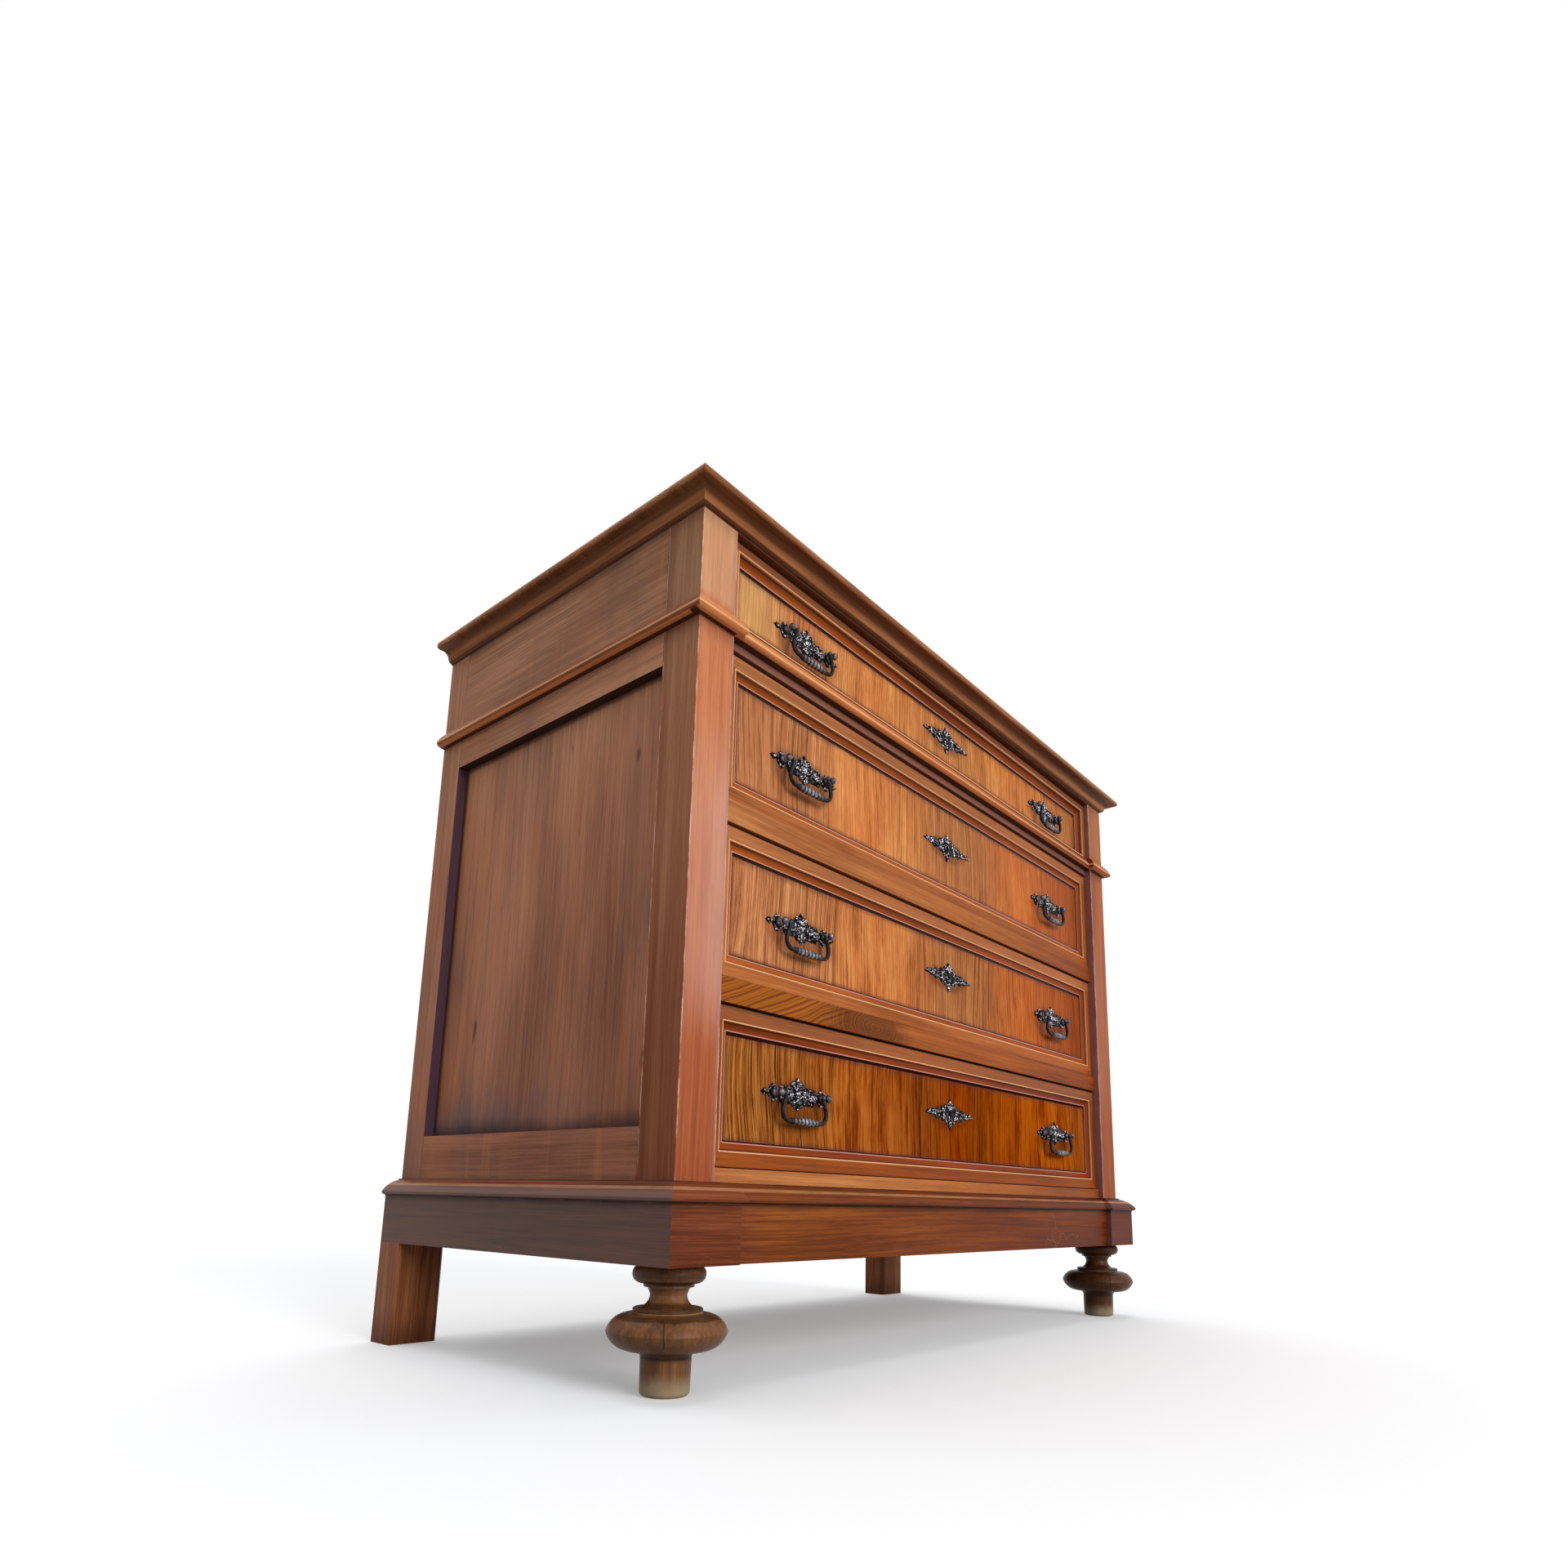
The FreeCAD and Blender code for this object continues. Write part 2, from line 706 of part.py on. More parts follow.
def make_back():
    """Upright boards nailed to two rails, which are tenoned between the rear posts."""
    count = int(value("back_board_count"))
    pitch = "2*rear_post_inner/back_board_count"
    boards = []
    for index in range(count):
        left = f"-(rear_post_inner) + {index}*{pitch}"
        right = f"-(rear_post_inner) + {index + 1}*{pitch}"
        if index > 0:
            left += " + back_board_gap/2"
        if index < count - 1:
            right += " - back_board_gap/2"
        boards.append(board(f"back_board_{index + 1}", (left, right),
                            ("back_board_y", "back_y - back_board_inset"), ("plinth_top", "top_z")))
    node(group("back_boards", boards), "back_boards")
    rails = []
    for name, height in BACK_RAILS.items():
        blank = board(f"{name}_blank", ("-(rear_post_inner)", "rear_post_inner"),
                      ("back_board_y - back_rail_thickness", "back_board_y"), height)
        tenons = [board(f"{name}_tenon_{word}", *back_tenon(name, side))
                  for word, side in SIDES.items()]
        rails.append(fuse(name, [blank] + tenons))
    node(group("back_rails", rails), "back_rails")


def make_top():
    """The top board, its edge rounded over on the front and both ends, more above than below."""
    body = padded("top_board", "XY_Plane", [
        ("-(half_width + top_overhang)", "face_y - top_overhang"),
        ("half_width + top_overhang", "face_y - top_overhang"),
        ("half_width + top_overhang", "back_y"),
        ("-(half_width + top_overhang)", "back_y"),
    ], "top_thickness")
    for word, above, radius in (("nose", True, "top_nose_radius"), ("foot", False, "top_foot_radius")):
        document.recompute()
        tip = body.Tip
        box = tip.Shape.BoundBox
        names = []
        for index, edge in enumerate(tip.Shape.Edges, start=1):
            middle = edge.BoundBox.Center
            level = edge.BoundBox.ZLength < EDGE_TOLERANCE
            height = box.ZMax if above else box.ZMin
            front = middle.y < box.YMin + EDGE_TOLERANCE
            shown = front or abs(middle.x) > box.XMax - EDGE_TOLERANCE
            if level and shown and abs(middle.z - height) < EDGE_TOLERANCE:
                names.append(f"Edge{index}")
        fillet = body.newObject("PartDesign::Fillet", f"top_board_{word}")
        fillet.Base = (tip, names)
        bind(fillet, "Radius", radius)
    move_to(body, "0", "0", "top_z + top_thickness/2")
    node(body, "top_board")


def cornice_profile():
    """A cove over a steep shoulder and a sloping soffit, under the edge of the top."""
    return [
        ("0", "0"),
        ("-cornice_foot_reach", "cornice_foot_rise", FLAT),
        ("-cornice_shoulder_reach", "cornice_shoulder_height", -ROUND),
        ("-cornice_reach", "cornice_height"),
        ("0", "cornice_height"),
    ]


def waist_profile():
    """A long slope down to a rounded nose, over a flat soffit."""
    return [
        ("0", "0"),
        ("-waist_soffit_reach", "waist_soffit_rise", ROUND),
        ("-waist_reach", "waist_nose_rise", FLAT),
        ("-waist_tip_reach", "waist_height"),
        ("0", "waist_height"),
    ]


def base_profile():
    """A ledge, a long convex slope and a rounded nose over the plinth."""
    return [
        ("0", "0"),
        ("-(plinth_projection + base_fillet_reach)", "0"),
        ("-(plinth_projection + base_fillet_reach)", "base_fillet_height"),
        ("-(base_reach - base_nose_undercut)", "base_fillet_height", ROUND),
        ("-base_reach", "base_nose_height", SOFT),
        ("-base_ledge_reach", "base_height - base_ledge_drop"),
        ("-base_ledge_reach", "base_height"),
        ("0", "base_height"),
    ]


def make_mouldings():
    """Cornice, waist and base mouldings, each in mitred lengths."""
    profile = cornice_profile()
    level = "top_z - cornice_height"
    lengths = [moulding("cornice_front", profile, "carcass_width", "cornice_reach", (OUTER, OUTER),
                        0, ("0", "face_y", level))]
    for word, side in SIDES.items():
        ends = (SQUARE, OUTER) if side < 0 else (OUTER, SQUARE)
        place = (signed(side, "half_width"), "(face_y + back_y)/2", level)
        lengths.append(moulding(f"cornice_{word}", profile, "carcass_depth", "cornice_reach", ends,
                                side, place))
    node(group("cornice_moulding", lengths), "cornice_moulding")
    node(moulding_round_front("waist_moulding", waist_profile(), "waist_reach", "waist_z"),
         "waist_moulding")
    node(moulding_round_front("base_moulding", base_profile(), "base_reach", "plinth_top"),
         "base_moulding")


def plinth_profile():
    return [
        ("plinth_inward", "0"),
        ("-plinth_projection", "0"),
        ("-plinth_projection", "plinth_height"),
        ("plinth_inward", "plinth_height"),
    ]


def make_plinth():
    """Mitred boards round the foot of the carcass, set back between the corner blocks."""
    profile = plinth_profile()
    boards = []
    blocks = []
    height = ("foot_height", "plinth_top")
    seam = "face_y + plinth_seam_setback"
    for word, side in SIDES.items():
        run_ends = (SQUARE, OUTER) if side < 0 else (OUTER, SQUARE)
        corner_ends = (OUTER, SQUARE) if side < 0 else (SQUARE, OUTER)
        boards.append(moulding(f"plinth_side_{word}", profile, "plinth_seam_setback",
                               "plinth_projection", run_ends, side,
                               (signed(side, "half_width"), f"(face_y + {seam})/2", "foot_height"),
                               "plinth_inward"))
        boards.append(board(f"plinth_side_rear_{word}",
                            span(side, "half_width - plinth_inward", "plinth_half"),
                            (seam, "back_y"), height))
        boards.append(moulding(f"plinth_corner_{word}", profile, "half_width - block_inner",
                               "plinth_projection", corner_ends, 0,
                               (signed(side, "(half_width + block_inner)/2"), "face_y", "foot_height"),
                               "plinth_inward"))
        inner = "half_width - plinth_inward"
        front_block = board(f"plinth_block_front_{word}_blank", span(side, "block_inner", inner),
                            ("face_y + plinth_inward", "face_y + plinth_inward + glue_block_size"),
                            height)
        hole = rod(f"plinth_block_front_{word}_hole", "foot_dowel_radius + foot_dowel_play",
                   "foot_dowel_length + foot_dowel_play",
                   (signed(side, "foot_x"), "foot_y", "foot_height"))
        blocks.append(cut(f"plinth_block_front_{word}", front_block, [hole]))
        blocks.append(board(f"plinth_block_rear_{word}",
                            span(side, f"{inner} - glue_block_size", inner),
                            ("back_y - plinth_inward - glue_block_size", "back_y - plinth_inward"),
                            height))
    centre_y = "rail_y - plinth_projection"
    boards.append(board("plinth_front", ("-(block_inner)", "block_inner"),
                        (centre_y, f"{centre_y} + plinth_thickness"), height))
    inner = "half_width - plinth_inward"
    boards.append(board("plinth_back", (f"-({inner})", inner), ("back_y - plinth_inward", "back_y"),
                        height))
    node(group("plinth", boards), "plinth")
    node(group("plinth_blocks", blocks), "plinth_blocks")


def foot_profile():
    """Radius and height of a turned foot: shank, flattened bulb, ring, neck, cap and dowel."""
    ring_top = "foot_ring_height + foot_ring_thickness"
    cap_foot = "foot_height - foot_cap_height"
    return [
        ("0", "0"),
        ("foot_sole_radius", "0", -ROUND),
        ("foot_shank_radius - foot_sole_taper", "foot_sole_height"),
        ("foot_shank_radius", "foot_shank_height", ROUND),
        ("foot_shank_radius + foot_shank_flare", "foot_shank_height + foot_shank_flare_height", -ROUND),
        ("foot_bulb_radius", "foot_bulb_height", -ROUND),
        ("foot_ring_radius + foot_ring_flare", "foot_ring_height - foot_ring_flare_height"),
        ("foot_ring_radius", "foot_ring_height", -HALF_ROUND),
        ("foot_ring_radius - foot_ring_taper", ring_top),
        ("foot_neck_radius + foot_neck_seat", ring_top, EVEN),
        ("foot_neck_radius", "foot_neck_height", FLAT),
        ("foot_neck_radius + foot_neck_swell", f"{cap_foot} - foot_cap_step_height"),
        ("foot_cap_radius - foot_cap_step", f"{cap_foot} - foot_cap_step_height"),
        ("foot_cap_radius - foot_cap_step", cap_foot),
        ("foot_cap_radius", cap_foot, -HALF_ROUND),
        ("foot_cap_radius + foot_cap_flare", "foot_height"),
        ("foot_dowel_radius", "foot_height"),
        ("foot_dowel_radius", "foot_height + foot_dowel_length"),
        ("0", "foot_height + foot_dowel_length"),
    ]


def make_feet():
    """Two turned feet in front and two square ones behind."""
    for word, side in SIDES.items():
        foot = turned(f"foot_front_{word}", foot_profile())
        move_to(foot, signed(side, "foot_x"), "foot_y", "0")
        node(foot, f"foot_front_{word}")
        outer = "plinth_half"
        inner = "plinth_half - rear_foot_width"
        depth = "back_y - rear_foot_depth"
        body = padded(f"foot_rear_{word}", "XY_Plane", [
            (signed(side, outer), "back_y"),
            (signed(side, outer), depth),
            (signed(side, f"{inner} + rear_foot_chamfer"), depth),
            (signed(side, inner), f"{depth} + rear_foot_chamfer"),
            (signed(side, inner), "back_y"),
        ], "foot_height")
        move_to(body, "0", "0", "foot_height/2")
        node(body, f"foot_rear_{word}")


def make_runners():
    """Under each drawer side a runner with its guide strip, stops on the rails, and two kickers."""
    runners = []
    guides = []
    length = ("post_back_y", "rear_post_y")
    for word, side in SIDES.items():
        shelf = span(side, "runner_inner_half", "side_inner")
        for drawer in DRAWERS:
            floor = f"floor_{drawer}"
            runners.append(board(f"runner_{drawer}_{word}", shelf, length,
                                 (f"{floor} - runner_height", floor)))
            guides.append(board(f"guide_{drawer}_{word}", span(side, "post_inner", "side_inner"),
                                length, (floor, f"{floor} + guide_height")))
            guides.append(board(f"stop_{drawer}_{word}",
                                span(side, "stop_half_spacing - stop_width/2",
                                     "stop_half_spacing + stop_width/2"),
                                ("front_back_y + stop_gap", "front_back_y + stop_gap + stop_depth"),
                                (floor, f"{floor} + stop_height")))
        runners.append(board(f"kicker_{word}", shelf, length, ("head_1", "top_z")))
    node(group("drawer_runners", runners), "drawer_runners")
    node(group("drawer_guides", guides), "drawer_guides")


# Drawers

def frame_profile(flat, depth):
    """Flat face, quirk and ovolo of a drawer frame, from its outer edge to the field."""
    return [
        (depth, "0"),
        ("0", "0"),
        ("0", flat),
        ("frame_quirk", flat, -EVEN),
        (f"({depth}) - frame_lip", f"{flat} + frame_moulding"),
        (depth, f"{flat} + frame_moulding"),
    ]


def frame_end(direction, length, flat, neighbour):
    """The waste beyond a frame member's end, where the flats and mouldings meet another."""
    wall = f"({length})/2"
    points = [
        (wall, "-mitre_spare"),
        (wall, "0"),
        (f"{wall} - {neighbour}", flat),
        (f"{wall} - {neighbour} - frame_moulding", f"{flat} + frame_moulding"),
        (f"{wall} - {neighbour} - frame_moulding", f"{flat} + frame_moulding + mitre_spare"),
        (f"{wall} + mitre_spare", f"{flat} + frame_moulding + mitre_spare"),
        (f"{wall} + mitre_spare", "-mitre_spare"),
    ]
    return [(f"{direction}*({x})", y) for x, y in points]


def frame_member(name, flat, depth, length, neighbours, degrees, place):
    """One mitred member of a drawer frame, turned about Y and moved to its outer edge."""
    body = padded(name, "YZ_Plane", frame_profile(flat, depth), length)
    waste = [frame_end(-1, length, flat, neighbours[0]), frame_end(1, length, flat, neighbours[1])]
    pocketed(body, "XZ_Plane", waste, name)
    turn(body, FreeCAD.Vector(0, 1, 0), degrees)
    move_to(body, *place)
    return body


def make_drawer_frame(drawer):
    """Four mitred members round the veneered field of a drawer front."""
    setback = "top_drawer_setback" if drawer == 1 else "drawer_setback"
    flat = "top_frame_flat" if drawer == 1 else "frame_flat"
    foot_flat = "top_frame_foot_flat" if drawer == 1 else "frame_flat"
    depth = f"field_setback - {setback}"
    front = f"face_y + {setback}"
    foot, head = f"front_foot_{drawer}", f"front_head_{drawer}"
    middle = f"({foot} + {head})/2"
    height = f"{head} - {foot}"
    name = f"drawer_{drawer}_frame"
    members = [
        frame_member(f"{name}_foot", foot_flat, depth, "2*front_half", (flat, flat), 0,
                     ("0", front, foot)),
        frame_member(f"{name}_head", flat, depth, "2*front_half", (flat, flat), 180,
                     ("0", front, head)),
        frame_member(f"{name}_left", flat, depth, height, (flat, foot_flat), 90,
                     ("-front_half", front, middle)),
        frame_member(f"{name}_right", flat, depth, height, (foot_flat, flat), -90,
                     ("front_half", front, middle)),
    ]
    node(group(name, members), name)


def keyhole(name, drawer, front, back):
    """A round hole with a slot below it, right through from front to back."""
    level = f"keyhole_z_{drawer}"
    hole = rod(f"{name}_round", "keyhole_radius", f"({back}) - ({front})", ("0", back, level),
               FreeCAD.Vector(1, 0, 0), 90)
    slot = board(f"{name}_slot", ("-keyhole_slot_width/2", "keyhole_slot_width/2"), (front, back),
                 (f"{level} - keyhole_slot_length", level))
    return fuse(name, [hole, slot])


def stud_places():
    """X of the four posts across a drawer front."""
    places_x = []
    for side in SIDES.values():
        for post in (-1, 1):
            places_x.append(f"{side}*handle_half_spacing + {post}*post_half_spacing")
    return places_x


def bottom_groove(name, drawer):
    """The groove that the drawer bottom slides into, in the sides and the front."""
    level = f"floor_{drawer} + drawer_slide_play + drawer_bottom_rise"
    reach = "front_half - drawer_side_thickness + drawer_groove_depth"
    return board(name, (f"-({reach})", reach),
                 ("front_back_y - drawer_groove_depth", "box_back_y + mitre_spare"),
                 (f"{level} - panel_play/2", f"{level} + drawer_bottom_thickness + panel_play/2"))


def dovetails(low, high, shoulder, end):
    """Corners of a row of tails from low to high, between their shoulder and end lines."""
    count = max(1, int(value(f"({high}) - ({low})")/value("dovetail_pitch")))
    pitch = f"(({high}) - ({low}))/{count}"
    corners = []
    for index in range(count):
        middle = f"{low} + {pitch}*{index + 0.5}"
        narrow = f"({pitch} - dovetail_pin_width)/2"
        wide = f"({narrow} + dovetail_flare)"
        corners += [(shoulder, f"{middle} - {narrow}"), (end, f"{middle} - {wide}"),
                    (end, f"{middle} + {wide}"), (shoulder, f"{middle} + {narrow}")]
    return corners


def drawer_side(drawer, word, side):
    """A drawer side before it is grooved, with lapped tails in front and through tails behind."""
    base = f"floor_{drawer} + drawer_slide_play"
    top = f"head_{drawer} - drawer_side_drop"
    ledge = f"{base} + drawer_bottom_rise + drawer_bottom_thickness"
    back_top = f"head_{drawer} - drawer_back_drop"
    back_face = "box_back_y - drawer_back_thickness"
    front_tails = dovetails(f"front_foot_{drawer}", top, "front_back_y", "field_y + front_lap")
    back_tails = dovetails(ledge, back_top, back_face, "box_back_y")
    points = [("front_back_y", base)] + front_tails + [("front_back_y", top), ("box_back_y", top)]
    points += [("box_back_y", back_top), (back_face, back_top)] + back_tails[::-1]
    points += [(back_face, ledge), ("box_back_y", ledge), ("box_back_y", base)]
    body = padded(f"drawer_{drawer}_side_{word}", "YZ_Plane", points, "drawer_side_thickness")
    move_to(body, signed(side, "front_half - drawer_side_thickness/2"), "0", "0")
    return body


def make_drawer_front(drawer, sides):
    """The front board, with sockets for the tails, bores, and a seat for the lock and bolt."""
    name = f"drawer_{drawer}_front"
    foot, head = f"front_foot_{drawer}", f"front_head_{drawer}"
    level = f"keyhole_z_{drawer}"
    blank = board(f"{name}_blank", ("-front_half", "front_half"), ("field_y", "front_back_y"),
                  (foot, head))
    tools = [keyhole(f"{name}_keyhole", drawer, "field_y - mitre_spare", "lock_y + mitre_spare")]
    tools.append(board(f"{name}_lock_seat", ("-lock_width/2", "lock_width/2"),
                       ("lock_y", "front_back_y + mitre_spare"),
                       (f"{level} - lock_height/2", f"{level} + lock_height/2")))
    tools.append(board(f"{name}_bolt_way", ("-(bolt_width/2 + bolt_play)", "bolt_width/2 + bolt_play"),
                       ("bolt_y - bolt_play", "front_back_y + mitre_spare"),
                       (level, f"{head} + mitre_spare")))
    for index, across in enumerate(stud_places(), start=1):
        tools.append(rod(f"{name}_stud_hole_{index}", "stud_radius + stud_hole_play",
                         "front_thickness + 2*mitre_spare",
                         (across, "front_back_y + mitre_spare", f"handle_z_{drawer}"),
                         FreeCAD.Vector(1, 0, 0), 90))
    tools.append(bottom_groove(f"{name}_groove", drawer))
    node(cut(name, blank, tools + sides), name)


def make_drawer_box(drawer, sides):
    """Sides, back and bottom of a drawer. The bottom slides in grooves in the sides."""
    name = f"drawer_{drawer}_box"
    ledge = f"floor_{drawer} + drawer_slide_play + drawer_bottom_rise"
    members = []
    for word, side in zip(SIDES, sides):
        members.append(cut(f"{name}_side_{word}", side, [bottom_groove(f"{name}_{word}_groove", drawer)]))
    reach = "front_half - drawer_side_thickness + drawer_groove_depth - panel_play"
    members.append(board(f"{name}_bottom", (f"-({reach})", reach),
                         ("front_back_y - drawer_groove_depth + panel_play", "box_back_y"),
                         (ledge, f"{ledge} + drawer_bottom_thickness")))
    back = board(f"{name}_back_blank", ("-front_half", "front_half"),
                 ("box_back_y - drawer_back_thickness", "box_back_y"),
                 (f"{ledge} + drawer_bottom_thickness", f"head_{drawer} - drawer_back_drop"))
    members.append(cut(f"{name}_back", back, sides))
    node(group(name, members), name)


def make_lock(drawer):
    """A lock case let into the back of the front, its guide plate and its long bolt."""
    name = f"drawer_{drawer}_lock"
    level = f"keyhole_z_{drawer}"
    head = f"front_head_{drawer}"
    back = "lock_y + lock_thickness"
    case = board(f"{name}_block", ("-lock_width/2", "lock_width/2"), ("lock_y", back),
                 (f"{level} - lock_height/2", f"{level} + lock_height/2"))
    inside = board(f"{name}_inside", ("-(lock_width/2 - lock_wall)", "lock_width/2 - lock_wall"),
                   ("lock_y + lock_wall", f"{back} - lock_wall"),
                   (f"{level} - lock_height/2 + lock_wall", f"{level} + lock_height/2 - lock_wall"))
    slot = board(f"{name}_slot", ("-(bolt_width/2 + bolt_play)", "bolt_width/2 + bolt_play"),
                 ("bolt_y - bolt_play", "bolt_y + bolt_thickness + bolt_play"),
                 (level, f"{level} + lock_height/2 + mitre_spare"))
    hole = keyhole(f"{name}_keyhole", drawer, "lock_y - mitre_spare", "lock_y + lock_wall + bolt_play")
    shell = cut(f"{name}_shell", case, [inside, slot, hole])
    pin = rod(f"{name}_pin", "lock_pin_radius", "lock_thickness - lock_wall + lock_let_in",
              ("0", f"{back} - lock_wall", level), FreeCAD.Vector(1, 0, 0), 90)
    guide = board(f"{name}_guide", ("-bolt_guide_width/2", "bolt_guide_width/2"),
                  ("front_back_y", "front_back_y + lock_wall"),
                  (f"{head} - bolt_guide_drop - bolt_guide_height", f"{head} - bolt_guide_drop"))
    node(group(name, [fuse(f"{name}_case", [shell, pin]), guide]), name)
    tail_foot = f"{level} + bolt_tail_rise"
    shank = board(f"drawer_{drawer}_bolt_shank", ("-bolt_width/2", "bolt_width/2"),
                  ("bolt_y", "bolt_y + bolt_thickness"), (tail_foot, f"{head} - bolt_top_drop"))
    tail = board(f"drawer_{drawer}_bolt_tail", ("-bolt_tail_width/2", "bolt_tail_width/2"),
                 ("bolt_y", "bolt_y + bolt_thickness"), (tail_foot, f"{tail_foot} + bolt_tail_height"))
    node(fuse(f"drawer_{drawer}_bolt", [shank, tail]), f"drawer_{drawer}_bolt")


def mirrored(points):
    """Complete an outline that is given from the top round the right side to the bottom."""
    bulges = [point[2] if len(point) > 2 else 0 for point in points]
    right = [(point[0], point[1], bulge) for point, bulge in zip(points[:-1], bulges)]
    bottom = (points[-1][0], points[-1][1], bulges[-2])
    left = []
    for index in range(len(points) - 2, 0, -1):
        left.append((f"-({points[index][0]})", points[index][1], bulges[index - 1]))
    return right + [bottom] + left


def handle_plate_outline():
    """Right half of a back plate: crest, band, leaf round the post, bud and pendant."""
    return [
        ("0", "plate_crest_height", FULL),
        ("plate_crest_half", "plate_band_half + plate_crest_rise"),
        ("plate_crest_half - plate_crest_shoulder", "plate_band_half"),
        ("plate_band_end", "plate_band_half", -SOFT),
        ("leaf_inner_distance", "leaf_stem_half", ROUND),
        ("leaf_middle_distance", "leaf_half_height", ROUND),
        ("leaf_outer_distance", "bud_neck_half", -SOFT),
        ("bud_middle_distance", "bud_half_height", FLAT),
        ("plate_half_length", "0", FLAT),
        ("bud_middle_distance", "-bud_half_height", -SOFT),
        ("leaf_outer_distance", "-bud_neck_half", ROUND),
        ("leaf_middle_distance", "-leaf_half_height", ROUND),
        ("leaf_inner_distance", "-leaf_stem_half", -SOFT),
        ("plate_band_end", "-plate_band_half"),
        ("plate_pendant_half", "-plate_band_half", -SOFT),
        ("0", "-plate_pendant_depth"),
    ]


def escutcheon_outline():
    """Right half of a key plate: a lozenge of lobes with a point on each side."""
    return [
        ("0", "escutcheon_half_height", -SOFT),
        ("escutcheon_peak_half", "escutcheon_shoulder_height + escutcheon_peak_rise", EVEN),
        ("escutcheon_shoulder_half", "escutcheon_shoulder_height", ROUND),
        ("escutcheon_arm_start", "escutcheon_arm_half", -SOFT),
        ("escutcheon_arm_distance", "escutcheon_arm_half", ROUND),
        ("escutcheon_point_distance", "escutcheon_point_half"),
        ("escutcheon_half_length", "0"),
        ("escutcheon_point_distance", "-escutcheon_point_half", ROUND),
        ("escutcheon_arm_distance", "-escutcheon_arm_half", -SOFT),
        ("escutcheon_arm_start", "-escutcheon_arm_half", ROUND),
        ("escutcheon_shoulder_half", "-escutcheon_shoulder_height", EVEN),
        ("escutcheon_peak_half", "-(escutcheon_shoulder_height + escutcheon_peak_rise)", -SOFT),
        ("0", "-escutcheon_half_height"),
    ]


def make_handle_plates(drawer):
    """Two back plates with their posts, and the nuts inside the drawer."""
    name = f"drawer_{drawer}_handle_plates"
    level = f"handle_z_{drawer}"
    forward = FreeCAD.Vector(1, 0, 0)
    members = []
    for word, side in SIDES.items():
        centre = f"{side}*handle_half_spacing"
        plate = padded(f"{name}_{word}_plate", "XZ_Plane", mirrored(handle_plate_outline()),
                       "plate_thickness")
        move_to(plate, centre, "field_y - plate_thickness/2", level)
        shapes = [plate]
        eyes = []
        for post in (-1, 1):
            stem = f"{name}_{word}_{'a' if post < 0 else 'b'}"
            across = f"{centre} + {post}*post_half_spacing"
            shapes.append(rod(f"{stem}_stem", "post_stem_radius", "post_stand_off",
                              (across, "field_y", level), forward, 90))
            shapes.append(rod(f"{stem}_collar", "post_collar_radius",
                              "plate_thickness + post_collar_length",
                              (across, "field_y", level), forward, 90))
            shapes.append(ball(f"{stem}_knob", "post_knob_radius", (across, "pivot_y", level)))
            shapes.append(rod(f"{stem}_stud", "stud_radius", "front_thickness + stud_tail",
                              (across, "front_back_y + stud_tail", level), forward, 90))
            mouth = f"{across} - {post}*post_knob_radius"
            eyes.append(rod(f"{stem}_eye", "pivot_radius + pivot_play", "pivot_depth",
                            (mouth, "pivot_y", level), FreeCAD.Vector(0, 1, 0), 90*post))
            half = "nut_width/2"
            nut = board(f"{stem}_nut_blank", (f"{across} - {half}", f"{across} + {half}"),
                        ("front_back_y", "front_back_y + nut_thickness"),
                        (f"{level} - {half}", f"{level} + {half}"))
            bore = rod(f"{stem}_nut_bore", "stud_radius + nut_play", "nut_thickness + 2*mitre_spare",
                       (across, "front_back_y + nut_thickness + mitre_spare", level), forward, 90)
            members.append(cut(f"{stem}_nut", nut, [bore]))
        members.append(cut(f"{name}_{word}", fuse(f"{name}_{word}_solid", shapes), eyes))
    node(group(name, members), name)


def make_bail(drawer, word, side):
    """A bail that hangs from its two posts, with a beaded grip."""
    name = f"drawer_{drawer}_bail_{word}"
    whole = fuse(f"{name}_solid", bail_wire(name))
    move_to(whole, f"{side}*handle_half_spacing", "pivot_y", f"handle_z_{drawer}")
    node(whole, name)


def bail_wire(name):
    """The pieces that one bail is forged from, about the middle of its pivot line."""
    sideways = FreeCAD.Vector(0, 1, 0)
    tip = "post_half_spacing - post_knob_radius + pivot_depth - pivot_end_gap"
    shapes = []
    for direction in (-1, 1):
        stem = f"{name}_{'a' if direction < 0 else 'b'}"
        top = f"{direction}*bail_top_half"
        shapes.append(rod(f"{stem}_pivot", "pivot_radius", f"({tip}) - bail_top_half",
                          (top, "0", "0"), sideways, 90*direction))
        shapes.append(ball(f"{stem}_eye", "bail_eye_radius", (top, "0", "0")))
        shapes.append(swan_neck(f"{stem}_arm", direction))
    shapes.append(grip(name))
    return shapes


